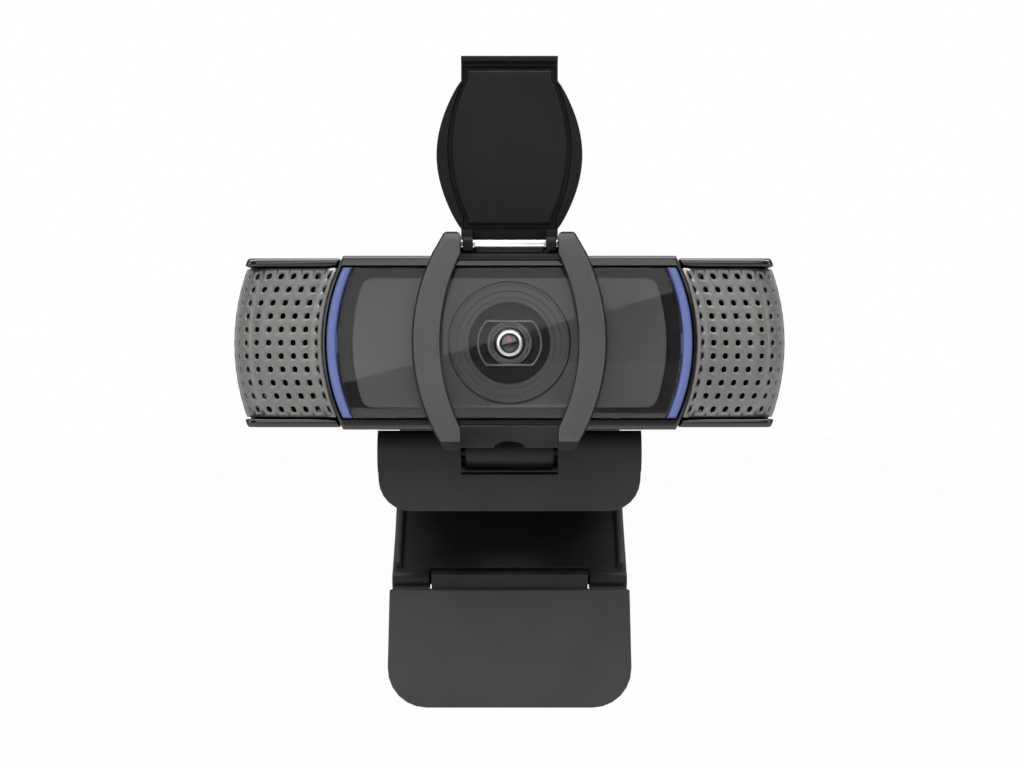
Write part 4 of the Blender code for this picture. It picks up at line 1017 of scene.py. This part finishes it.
@dataclass
class Optics:
    """Stepped surround, baffle, barrel, bright ring and lens elements."""

    shop: Workshop
    lens_z: float = 22.15 * MM

    def make(self) -> None:
        """Make every optical piece."""
        self.make_steps()
        self.make_baffle()
        self.make_barrel()

    def make_steps(self) -> None:
        """Turn the stepped surround that narrows towards the lens; its step risers
        are painted black as shade.
        """
        profile: list[Point2] = [(10.11 * MM, -20.3 * MM)]
        y = -20.3 * MM
        for radius in (9.86, 8.82, 7.78):
            profile.append((radius * MM, y))
            y += 0.3 * MM
            profile.append(((radius - 0.22) * MM, y))
        profile += [(6.92 * MM, y), (6.75 * MM, y + 0.3 * MM),
                    (6.75 * MM, -17.3 * MM), (7.1 * MM, -17.3 * MM),
                    (10.11 * MM, -18.9 * MM)]
        bm = bmesh.new()
        spun(bm, profile, self.lens_z, 128)
        for face in bm.faces:
            centre = face.calc_center_median()
            spread = math.hypot(centre.x, centre.z - self.lens_z)
            face.normal_update()
            # The step risers get the black finish: painted shade that draws each
            # step as a dark ring.
            face.material_index = int(spread < 6.95 * MM or centre.y > -18.9 * MM
                                      or abs(face.normal.y) < 0.5)
        self.shop.finish("stepped_surround", bm, Body.HEAD, Slot.MATTE,
                         ["panel_grey", "printed_black"], ["lens_bezel"],
                         angle=20.0)

    def make_baffle(self) -> None:
        """Make the baffle whose opening is a circle with two flats; its slanted rim
        is painted light as a highlight.
        """
        front, back = -17.9 * MM, -17.4 * MM
        steps = 96
        wide = circle(5.45 * MM, self.lens_z, steps, 3.85 * MM)
        tight = circle(5.2 * MM, self.lens_z, steps, 3.55 * MM)
        rim = circle(7.6 * MM, self.lens_z, steps)
        bm = bmesh.new()
        loft(bm, [stand(rim, back), stand(rim, front), stand(wide, front),
                  stand(tight, back)], open_ends=True)
        bridge(bm, stand(tight, back), stand(rim, back))
        for face in bm.faces:
            centre = face.calc_center_median()
            spread = math.hypot(centre.x, centre.z - self.lens_z)
            # The slanted rim round the opening gets a lighter finish: a painted
            # highlight.
            slanted = front + 0.05 * MM < centre.y < back - 0.05 * MM
            face.material_index = 1 if slanted and spread < 6 * MM else 0
        self.shop.finish("flatted_baffle", bm, Body.HEAD, Slot.MATTE,
                         ["printed_black", "baffle_rim_painted_highlight"], ["light_baffle"],
                         angle=20.0)

    def make_barrel(self) -> None:
        """Turn the barrel, its bright ring and the two elements."""
        z = self.lens_z
        barrel = [(3.9, -9.8), (3.9, -16.4), (3.7, -16.7), (3.35, -16.7),
                  (3.2, -16.35), (2.75, -16.25), (2.7, -15.6), (2.7, -9.8)]
        ring = [(2.4, -15.8), (2.4, -15.95), (2.27, -16.12), (2.12, -16.2),
                (1.72, -16.2), (1.62, -16.1), (1.6, -15.8)]
        turned = (("focus_barrel", barrel, Slot.MATTE, "barrel_bronze",
                   "lens_barrel", 25.0),
                  ("bright_ring", ring, Slot.STEEL, "turned_silver",
                   "lens_ring", 40.0))
        for name, profile, slot, paint, node, angle in turned:
            bm = bmesh.new()
            spun(bm, [(r * MM, y * MM) for r, y in profile], z, 96)
            self.shop.finish(name, bm, Body.LENS, slot, [paint], [node],
                             angle=angle)
        low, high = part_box("lens_front_element")
        bm = bmesh.new()
        radius, front = (high.x - low.x) / 2, low.y
        dome = [(0.0, front)]
        for k in range(1, 9):
            share = k / 8
            dome.append((radius * share, front + 0.45 * (high.y - front)
                         * (1 - math.sqrt(1 - 0.96 * share * share)) / 0.8))
        dome += [(radius, high.y), (0.0, high.y)]
        spun(bm, dome, z, 64, closed=False)
        # The coated element wears the painted reflection finish.
        self.shop.finish("coated_element", bm, Body.LENS, Slot.LENS,
                         ["lens_painted_reflection"], ["lens_front_element"], angle=40.0)
        self.shop.dress("lens_glass_dark", "lens_rear_element")


# --------------------------------------------------------------------------
# The privacy shutter


@dataclass
class Shutter:
    """The shutter's two arms, its bars, hinge pin and flap."""

    shop: Workshop
    arm_low: float = 4.1 * MM
    arm_high: float = 40.7 * MM
    outer_mid: float = 16.4 * MM
    outer_end: float = 10.9 * MM
    inner_mid: float = 11.6 * MM
    inner_end: float = 8.15 * MM
    straight: float = 3.6 * MM
    front: float = -25.5 * MM
    chamfer: float = 1.15 * MM
    axis_y: float = -23.5 * MM
    axis_z: float = 38.75 * MM

    def arm_outline(self, outer_inset: float, inner_inset: float = 0.0,
                    tip: float = 0.0, steps: int = 32) -> list[Point2]:
        """Draw the right-hand arm as seen from the front.

        Args:
            outer_inset: How far the outer side and the ends are drawn in.
            inner_inset: How far the inner side is drawn in.
            tip: How much more the lower end is drawn in.
            steps: Steps along each side.

        Returns:
            The outline.
        """
        middle = (self.arm_low + self.arm_high) / 2
        half = (self.arm_high - self.arm_low) / 2
        outer_radius = bow_radius(half, self.outer_mid - self.outer_end)
        bend = half - self.straight
        inner_radius = bow_radius(bend, self.inner_mid - self.inner_end)
        outer, inner = [], []
        for k in range(steps + 1):
            height = (half - outer_inset) * (2 * k / steps - 1)
            height += tip * (1 - k / steps)
            outer.append((bow(self.outer_mid - outer_inset, height, outer_radius),
                          middle + height))
            height = bend * (2 * k / steps - 1)
            inner.append((bow(self.inner_mid + inner_inset, height, inner_radius),
                          middle + height))
        foot = (self.inner_end + inner_inset, middle - half + outer_inset + tip)
        top = (self.inner_end + inner_inset, middle + half - outer_inset)
        return [foot] + outer + [top] + list(reversed(inner))

    def make_cover(self, side: Side) -> None:
        """Make one grey arm cover with its broad outer chamfer."""
        inner = 0.12 * MM
        loops = [(1.45 * MM, inner + 0.1 * MM, self.front),
                 (1.3 * MM, inner, self.front + 0.04 * MM),
                 (0.42 * MM, inner, self.front + 0.5 * MM),
                 (0.35 * MM, inner, self.front + 0.6 * MM)]
        bm = bmesh.new()
        shapes = []
        for outer_inset, inner_inset, y in loops:
            points = self.arm_outline(outer_inset, inner_inset, 1.1 * MM)
            if side is Side.LEFT:
                points = mirrored(points)
            shapes.append(stand(points, y))
        loft(bm, shapes)
        word = side.name.lower()
        self.shop.finish(f"arm_face_{word}", bm, Body.HEAD, Slot.ARM,
                         ["arm_paint"], [f"arm_cover_{word}"], angle=18.0)

    def flap_outline(self, low: float, length: float, end: float,
                     middle: float, waist: float = 2.6 * MM,
                     tab: float = 4.1 * MM, steps: int = 32) -> list[Point2]:
        """Draw the flap or its raised panel: straight ends and bulging sides.

        Args:
            low: Where it starts above the hinge.
            length: Where it ends above the hinge.
            end: Half its width at the ends.
            middle: Half its width at the bulge.
            waist: Where the bulge starts above the hinge.
            tab: Length of the straight tab at the top.
            steps: Steps along each bulge.

        Returns:
            The outline.
        """
        foot, stop = max(low, waist), length - tab
        right = [(end, self.axis_z + low)] if low < foot else []
        for k in range(steps + 1):
            bulge = math.sin(math.pi * k / steps) ** 0.85 if 0 < k < steps else 0.0
            right.append((end + (middle - end) * bulge,
                          self.axis_z + foot + (stop - foot) * k / steps))
        right.append((end, self.axis_z + length))
        return right + mirrored(right)

    def make_flap(self) -> None:
        """Make the flap: rim, sunk groove, raised panel, tab and knuckles."""
        outline = self.flap_outline(0.75 * MM, 31.62 * MM, 8.15 * MM, 12.3 * MM)
        front, back = -21.2 * MM, -20.0 * MM
        pocket = self.groove_outline(0.9 * MM)
        bm = bmesh.new()
        loops = [stand(inset(outline, 0.35 * MM), back),
                 stand(outline, back - 0.35 * MM),
                 stand(outline, front + 0.35 * MM),
                 stand(inset(outline, 0.1 * MM), front + 0.1 * MM),
                 stand(inset(outline, 0.35 * MM), front)]
        loft(bm, loops)
        top = max(bm.faces, key=lambda f: -f.calc_center_median().y)
        bmesh.ops.delete(bm, geom=[top], context="FACES_ONLY")
        bridge(bm, loops[-1], stand(pocket, front))
        loft(bm, [stand(pocket, front),
                  stand(inset(pocket, 0.12 * MM), front + 0.5 * MM)])
        covers = [f for f in bm.faces if len(f.verts) == len(outline)
                  and abs(f.calc_center_median().y - front) < 0.001 * MM]
        bmesh.ops.delete(bm, geom=covers, context="FACES_ONLY")
        self.add_knuckles(bm)
        self.shop.finish("flap_rim", bm, Body.FLAP, Slot.MATTE, ["flap_black"],
                         ["shutter_flap"], angle=25.0)
        self.make_flap_panel()

    def add_knuckles(self, bm: bmesh.types.BMesh) -> None:
        """Add the hinge knuckles, their webs and the finger bar at the top."""
        near, far = 6.15 * MM, 7.85 * MM
        for side in Side:
            low, high = sorted((side.value * near, side.value * far))
            rod(bm, 1.2 * MM, low, high, self.axis_y, self.axis_z, 0.15 * MM)
            web = [(low, self.axis_z - 0.6 * MM), (high, self.axis_z - 0.6 * MM),
                   (high, self.axis_z + 2.4 * MM), (low, self.axis_z + 2.4 * MM)]
            plate(bm, web, -22.6 * MM, -20.9 * MM, 0.2 * MM, 2)
        top = self.axis_z + 31.62 * MM
        bar = [(-8.15 * MM, top - 1.0 * MM), (8.15 * MM, top - 1.0 * MM),
               (8.15 * MM, top), (-8.15 * MM, top)]
        plate(bm, bar, -22.3 * MM, -21.0 * MM, 0.3 * MM, 3)
        ledge = [(-7.9 * MM, top - 1.75 * MM), (7.9 * MM, top - 1.75 * MM),
                 (7.9 * MM, top - 1.35 * MM), (-7.9 * MM, top - 1.35 * MM)]
        plate(bm, ledge, -21.5 * MM, -21.1 * MM, 0.15 * MM, 2)

    def groove_outline(self, spread: float) -> list[Point2]:
        """Return the raised panel's outline, made wider by a spread."""
        panel = self.flap_outline(3.4 * MM, 29.1 * MM, 6.95 * MM, 9.55 * MM,
                                  waist=4.6 * MM, tab=1.6 * MM)
        return inset(panel, -spread)

    def make_flap_panel(self) -> None:
        """Make the raised, round-edged panel that covers the lens when shut."""
        bm = bmesh.new()
        plate(bm, self.groove_outline(0.0), -22.7 * MM, -20.75 * MM, 0.4 * MM, 4)
        self.shop.finish("flap_raised_panel", bm, Body.FLAP, Slot.MATTE,
                         ["flap_panel_black"], ["flap_panel"], angle=25.0)

    def make_pin(self) -> None:
        """Make the flap's steel hinge pin with its thicker middle sleeve."""
        bm = bmesh.new()
        rod(bm, 0.42 * MM, -9.6 * MM, 9.6 * MM, self.axis_y, self.axis_z, 0.1 * MM)
        rod(bm, 0.68 * MM, -5.9 * MM, 5.9 * MM, self.axis_y, self.axis_z,
            0.15 * MM)
        self.shop.finish("flap_pin", bm, Body.HEAD, Slot.STEEL,
                         ["turned_silver"], ["flap_hinge_pin"], angle=40.0)

    def make(self) -> None:
        """Make every piece of the shutter."""
        self.shop.rounded("shutter_frame", "shutter_arms", Body.HEAD, Slot.MATTE,
                          "satin_black", 0.18 * MM, 2)
        for side in Side:
            self.make_cover(side)
        self.make_flap()
        self.make_pin()


# --------------------------------------------------------------------------
# The folding clip


@dataclass
class Clip:
    """The seat, lip, rear arm and foot that hold a monitor."""

    shop: Workshop
    lip_half_width: float = 21.9 * MM
    lip_top: float = -1.2 * MM
    lip_rear: float = -13.5 * MM
    foot_rim_top: float = -36.0 * MM
    washer_radius: float = 1.6 * MM
    washer_ends: Point2 = (12.8 * MM, 13.7 * MM)

    def make(self) -> None:
        """Make every piece of the clip."""
        rows = (
            ("clip_base", "clip_seat", Body.BASE, Slot.SOFT, "soft_touch",
             0.25, 3, 35.0, self.on_lip_rim),
            ("seat_pad", "seat_grip", Body.BASE, Slot.RUBBER, "rubber_pad",
             0.2, 2, 35.0, None),
            ("lip_pad", "lip_grip", Body.BASE, Slot.RUBBER, "rubber_pad",
             0.2, 2, 35.0, None),
            ("tripod_insert", "threaded_insert", Body.BASE, Slot.BRASS,
             "brass_insert", 0.2, 2, 50.0, None),
            ("tilt_pin", "tilt_axle", Body.BASE, Slot.STEEL,
             "blackened_steel", 0.15, 2, 50.0, None),
            ("arm_plate", "rear_arm", Body.ARM, Slot.SOFT, "arm_black",
             0.3, 3, 35.0, None),
            ("arm_hinge_pin", "arm_axle", Body.ARM, Slot.STEEL,
             "turned_silver", 0.15, 2, 50.0, None),
            ("foot_plate", "foot_shell", Body.FOOT, Slot.SOFT, "arm_black",
             0.25, 2, 35.0, self.on_foot_rim),
            # The foot pad wears a lighter copy of the soft-touch finish as painted
            # light.
            ("foot_pad", "foot_grip", Body.FOOT, Slot.RUBBER,
             "foot_soft_touch_painted_light", 0.35, 4, 35.0, None),
            ("foot_hinge_pin", "foot_axle", Body.ARM, Slot.STEEL,
             "blackened_steel", 0.15, 2, 50.0, None))
        for node, name, body, slot, paint, width, steps, angle, where in rows:
            self.shop.rounded(node, name, body, slot, paint, width * MM, steps,
                              angle, where)
        self.make_washers()

    def on_lip_rim(self, middle: Vector) -> bool:
        """Tell whether an edge lies on the lip's lower front rim."""
        return (abs(middle.x) < self.lip_half_width
                and middle.z < self.lip_top and middle.y < self.lip_rear)

    def on_foot_rim(self, middle: Vector) -> bool:
        """Tell whether an edge lies on the foot's lower rim."""
        return middle.z < self.foot_rim_top

    def make_washers(self) -> None:
        """Make the two nylon washers that fill the foot hinge's gaps."""
        low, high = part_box("foot_hinge_pin")
        y, z = (low.y + high.y) / 2, (low.z + high.z) / 2
        for side in Side:
            bm = bmesh.new()
            near, far = sorted(side.value * x for x in self.washer_ends)
            rod(bm, self.washer_radius, near, far, y, z, 0.15 * MM)
            self.shop.finish(f"hinge_washer_{side.name.lower()}", bm, Body.ARM,
                             Slot.SOFT, ["arm_black"], angle=40.0)


@dataclass
class Insides:
    """What sits inside the head and is seen only through its openings."""

    shop: Workshop

    def make(self) -> None:
        """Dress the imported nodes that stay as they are."""
        dress = self.shop.dress
        dress("panel_grey", "bezel_panel")
        dress("printed_black", "mask_plate")
        dress("satin_black", "lens_holder", "cable_header")
        dress("black_cloth", "acoustic_mesh_left", "acoustic_mesh_right")
        dress("rubber_pad", "mic_boot_left", "mic_boot_right", "cable_gland")
        dress("chip_black", "microphone_left", "microphone_right")
        dress("turned_silver", "shield_can",
              *(f"board_screw_{count}" for count in range(1, 5)))
        dress("status_lamp", "status_led_left", "status_led_right")
        dress("circuit_green", "led_board_left", "led_board_right", "main_board")
        dress("chip_black", "processor", "image_sensor")
        dress("lens_glass_dark", "ir_filter")


# --------------------------------------------------------------------------
# Finishes

FINISHES = (
    Finish("piano_black", Slot.GLOSS, (0.005, 0.005, 0.0053),
           (0.007, 0.0066, 0.0066), 0.07, 0.14, 1200.0, 0.000002, 0.6),
    Finish("satin_black", Slot.MATTE, (0.004, 0.004, 0.004),
           (0.006, 0.0057, 0.0054), 0.35, 0.45, 3000.0, 0.00001, 0.2,
           specular=0.25),
    Finish("printed_black", Slot.MATTE, (0.0035, 0.0033, 0.0033),
           (0.0045, 0.0043, 0.0043), 0.5, 0.6, 3000.0, 0.000001, 0.2,
           specular=0.1),
    Finish("textured_black", Slot.MATTE, (0.015, 0.0146, 0.0142),
           (0.020, 0.0192, 0.0184), 0.45, 0.6, 2200.0, 0.00004, 0.15),
    Finish("soft_touch", Slot.SOFT, (0.022, 0.0207, 0.0207),
           (0.026, 0.0247, 0.0243), 0.6, 0.7, 3200.0, 0.00001, 0.3,
           specular=0.15),
    # A lighter copy of soft_touch for the foot pad: painted light for the brighter
    # foot.
    Finish("foot_soft_touch_painted_light", Slot.SOFT, (0.037, 0.035, 0.0355),
           (0.044, 0.042, 0.0425), 0.6, 0.7, 3200.0, 0.00001, 0.3,
           specular=0.15),
    Finish("arm_black", Slot.SOFT, (0.0055, 0.005, 0.0045),
           (0.0075, 0.007, 0.0062), 0.5, 0.6, 2600.0, 0.00002, 0.3,
           specular=0.25),
    Finish("arm_paint", Slot.ARM, (0.055, 0.055, 0.054),
           (0.064, 0.064, 0.062), 0.4, 0.5, 5200.0, 0.00001, 0.15,
           specular=0.2),
    Finish("flap_black", Slot.MATTE, (0.0075, 0.0073, 0.0073),
           (0.010, 0.0097, 0.0095), 0.4, 0.5, 3400.0, 0.00001, 0.2,
           specular=0.08),
    Finish("flap_panel_black", Slot.MATTE, (0.0085, 0.0083, 0.0083),
           (0.011, 0.0107, 0.0107), 0.5, 0.6, 3400.0, 0.00001, 0.2,
           specular=0.08),
    Finish("panel_grey", Slot.PANEL, (0.048, 0.046, 0.046),
           (0.054, 0.052, 0.052), 0.5, 0.6, 4200.0, 0.000002, 0.2,
           specular=0.2),
    Finish("grille_paint", Slot.GRILLE, (0.15, 0.146, 0.141),
           (0.18, 0.175, 0.169), 0.42, 0.52, 5200.0, 0.00001, 0.25,
           metallic=0.8),
    LitFinish("blue_strip", Slot.LIGHT, (0.062, 0.087, 0.225),
              (0.074, 0.10, 0.255), 0.3, 0.4, 3000.0, 0.000004, 0.2, glow=0.2),
    LitFinish("status_lamp", Slot.LIGHT, (0.3, 0.4, 0.8),
              (0.35, 0.45, 0.85), 0.3, 0.4, glow=0.4),
    BrushedFinish("turned_silver", Slot.STEEL, (0.62, 0.62, 0.63),
                  (0.72, 0.72, 0.72), 0.22, 0.32, metallic=1.0,
                  grain_depth=0.000004),
    BrushedFinish("blackened_steel", Slot.STEEL, (0.02, 0.02, 0.021),
                  (0.03, 0.03, 0.03), 0.35, 0.45, metallic=1.0,
                  grain_depth=0.000004),
    BrushedFinish("brass_insert", Slot.BRASS, (0.72, 0.50, 0.20),
                  (0.78, 0.56, 0.26), 0.25, 0.35, metallic=1.0),
    Finish("barrel_bronze", Slot.MATTE, (0.045, 0.041, 0.037),
           (0.055, 0.050, 0.045), 0.3, 0.4, 4000.0, 0.000004, 0.2),
    # A lighter finish for the baffle's rim: a painted highlight.
    Finish("baffle_rim_painted_highlight", Slot.MATTE, (0.20, 0.195, 0.16),
           (0.23, 0.22, 0.185), 0.35, 0.45, 4000.0, 0.000004, 0.2),
    Finish("rubber_pad", Slot.RUBBER, (0.020, 0.020, 0.020),
           (0.026, 0.026, 0.025), 0.7, 0.85, 1800.0, 0.00005, 0.2),
    Finish("circuit_green", Slot.BOARD, (0.015, 0.085, 0.045),
           (0.02, 0.11, 0.055), 0.35, 0.5, 900.0, 0.00003, 0.2,
           drift_scale=220.0),
    Finish("chip_black", Slot.CHIP, (0.014, 0.014, 0.015),
           (0.02, 0.02, 0.02), 0.45, 0.55, 3000.0, 0.00001, 0.2),
    Finish("black_cloth", Slot.CLOTH, (0.004, 0.004, 0.004),
           (0.006, 0.006, 0.006), 0.9, 0.97, 5200.0, 0.00006, 0.1,
           specular=0.1),
    GlassFinish("window_glass", Slot.WINDOW, (0.97, 0.97, 0.97)),
    # The lens element's magenta tint is a painted reflection with a faint painted
    # glow.
    CoatedLensFinish("lens_painted_reflection", Slot.LENS, (0.62, 0.035, 0.12),
                     (0.0, 0.0, 22.62 * MM),
                     (1.1 * MM, 20.0 * MM, 0.8 * MM)),
    Finish("lens_glass_dark", Slot.LENS, (0.008, 0.006, 0.012),
           (0.010, 0.008, 0.016), 0.03, 0.06, 800.0, 0.000001, 0.5, coat=1.0),
)


# --------------------------------------------------------------------------
# Studio


@dataclass
class Studio:
    """Camera, lamps, floor and surroundings."""

    camera_place: Colour = (0.43 * MM, -534.0 * MM, 15.2 * MM)
    focal_length: float = 107.1
    floor_height: float = -100.0 * MM
    card_rise: float = 0.264
    card_foot: Colour = (0.0, -1.22, 0.052)
    card_size: Point2 = (1.1, 0.5)
    card_power: float = 4.0

    def make(self) -> None:
        """Set the camera, the lamps, the floor and the world."""
        self.make_camera()
        self.make_floor()
        self.make_world()
        middle = (0.0, 0.0, 0.02)
        lamps = (
            ("front_top_softbox", (0.0, -0.40, 0.42), middle, (0.6, 0.3), 1.5),
            ("overhead_strip", (0.0, -0.05, 0.44), (0.0, -0.02, 0.03),
             (0.75, 0.14), 4.5),
            ("left_softbox", (-0.62, -0.30, 0.18), middle, (0.22, 0.55), 1.5),
            ("right_softbox", (0.62, -0.30, 0.18), middle, (0.22, 0.55), 1.1),
            ("low_lamp", (0.0, -0.13, -0.15), (0.0, 0.01, -0.035),
             (0.22, 0.07), 0.16))
        for lamp in lamps:
            self.make_lamp(*lamp)
        self.make_card()

    def make_camera(self) -> None:
        """Place the level camera in front of the lens."""
        data = bpy.data.cameras.new("camera")
        data.lens = self.focal_length
        data.sensor_width = 36.0
        data.clip_start = 0.01
        camera = bpy.data.objects.new("camera", data)
        camera.location = self.camera_place
        camera.rotation_euler = (math.pi / 2, 0.0, 0.0)
        bpy.context.scene.collection.objects.link(camera)
        bpy.context.scene.camera = camera

    def make_lamp(self, name: str, place: Colour, aim: Colour, size: Point2,
                  power: float) -> bpy.types.Object:
        """Hang a rectangular softbox.

        Args:
            name: The lamp's name.
            place: Where it hangs.
            aim: The point that it faces.
            size: Width and height.
            power: Its power in watts.

        Returns:
            The lamp.
        """
        data = bpy.data.lights.new(name, "AREA")
        data.shape = "RECTANGLE"
        data.size, data.size_y = size
        data.energy = power
        lamp = bpy.data.objects.new(name, data)
        lamp.location = place
        gaze = Vector(aim) - Vector(place)
        lamp.rotation_euler = gaze.to_track_quat("-Z", "Y").to_euler()
        lamp.visible_camera = False
        bpy.context.scene.collection.objects.link(lamp)
        return lamp

    def make_card(self) -> None:
        """Hang the tilted card that the window mirrors across its upper part."""
        slope = math.atan(self.card_rise)
        up = Vector((-math.sin(slope), 0.0, math.cos(slope)))
        place = Vector(self.card_foot) + up * (self.card_size[1] / 2)
        lamp = self.make_lamp("tilted_card", tuple(place), (place.x, 0.0, place.z),
                              self.card_size, self.card_power)
        lamp.visible_diffuse = False
        lamp.rotation_euler = (Matrix.Rotation(-slope, 3, "Y") @ Matrix.Rotation(
            math.pi / 2, 3, "X")).to_euler()

    def make_floor(self) -> None:
        """Lay the pale floor, white to the camera but for the soft shadow."""
        bm = bmesh.new()
        bmesh.ops.create_grid(bm, x_segments=2, y_segments=2, size=6.0)
        bmesh.ops.translate(bm, vec=(0, 0, self.floor_height), verts=bm.verts)
        mesh = bpy.data.meshes.new("studio_floor")
        bm.to_mesh(mesh)
        bm.free()
        floor = bpy.data.objects.new("studio_floor", mesh)
        bpy.context.scene.collection.objects.link(floor)
        paint = bpy.data.materials.new("floor_paint")
        paint.use_nodes = True
        tree = paint.node_tree
        shader = tree.nodes["Principled BSDF"]
        shader.inputs["Base Color"].default_value = (0.85, 0.85, 0.85, 1.0)
        shader.inputs["Roughness"].default_value = 0.9
        path = tree.nodes.new("ShaderNodeLightPath")
        glow = tree.nodes.new("ShaderNodeEmission")
        mix = tree.nodes.new("ShaderNodeMixShader")
        link = tree.links.new
        ground = tree.nodes.new("ShaderNodeNewGeometry")
        split = tree.nodes.new("ShaderNodeSeparateXYZ")
        link(ground.outputs["Position"], split.inputs[0])
        bounced = self.combine(tree, "MAXIMUM", path.outputs["Is Glossy Ray"],
                               path.outputs["Is Transmission Ray"])
        behind = ramp(tree, split.outputs["Y"], -0.05, 0.05)
        seen = self.combine(tree, "MAXIMUM", path.outputs["Is Camera Ray"],
                            self.combine(tree, "MULTIPLY", bounced, behind))
        share = tree.nodes.new("ShaderNodeMath")
        share.operation = "MULTIPLY"
        share.inputs[1].default_value = 0.975
        link(seen, share.inputs[0])
        link(share.outputs[0], mix.inputs[0])
        link(shader.outputs["BSDF"], mix.inputs[1])
        link(glow.outputs["Emission"], mix.inputs[2])
        link(mix.outputs["Shader"], tree.nodes["Material Output"].inputs["Surface"])
        mesh.materials.append(paint)

    @staticmethod
    def combine(tree: bpy.types.NodeTree, operation: str,
                first: bpy.types.NodeSocket,
                second: bpy.types.NodeSocket) -> bpy.types.NodeSocket:
        """Return the socket of a maths node that combines two sockets."""
        node = tree.nodes.new("ShaderNodeMath")
        node.operation = operation
        tree.links.new(first, node.inputs[0])
        tree.links.new(second, node.inputs[1])
        return node.outputs[0]

    def make_world(self) -> None:
        """Make the room: white behind the webcam, dim in front and plain light."""
        world = bpy.data.worlds.new("studio")
        bpy.context.scene.world = world
        world.use_nodes = True
        tree = world.node_tree
        back = tree.nodes["Background"]
        back.inputs["Color"].default_value = (1.0, 1.0, 1.0, 1.0)
        path = tree.nodes.new("ShaderNodeLightPath")
        split = tree.nodes.new("ShaderNodeSeparateXYZ")
        place = tree.nodes.new("ShaderNodeTexCoord")
        link = tree.links.new
        link(place.outputs["Generated"], split.inputs[0])
        mirrored_room = ramp(tree, split.outputs["Y"], -0.1, 0.7, 0.12, 1.0)
        seen = self.combine(tree, "MAXIMUM", path.outputs["Is Glossy Ray"],
                            path.outputs["Is Transmission Ray"])
        room = tree.nodes.new("ShaderNodeMix")
        link(seen, room.inputs["Factor"])
        room.inputs["A"].default_value = 0.35
        link(mirrored_room, room.inputs["B"])
        whole = tree.nodes.new("ShaderNodeMix")
        link(path.outputs["Is Camera Ray"], whole.inputs["Factor"])
        link(room.outputs["Result"], whole.inputs["A"])
        whole.inputs["B"].default_value = 1.0
        link(whole.outputs["Result"], back.inputs["Strength"])


def main() -> None:
    """Build the studio and every sub-assembly in order."""
    logging.basicConfig(level=logging.INFO, format="%(name)s: %(message)s")
    bpy.context.scene.view_settings.view_transform = "Standard"
    Studio().make()
    shop = Workshop({finish.name: finish.build() for finish in FINISHES})
    for assembly in (Head(shop), Optics(shop), Shutter(shop), Clip(shop),
                     Insides(shop)):
        assembly.make()
        LOG.info("%s done, %d pieces so far", type(assembly).__name__, shop.count)


if __name__ == "__main__":
    main()
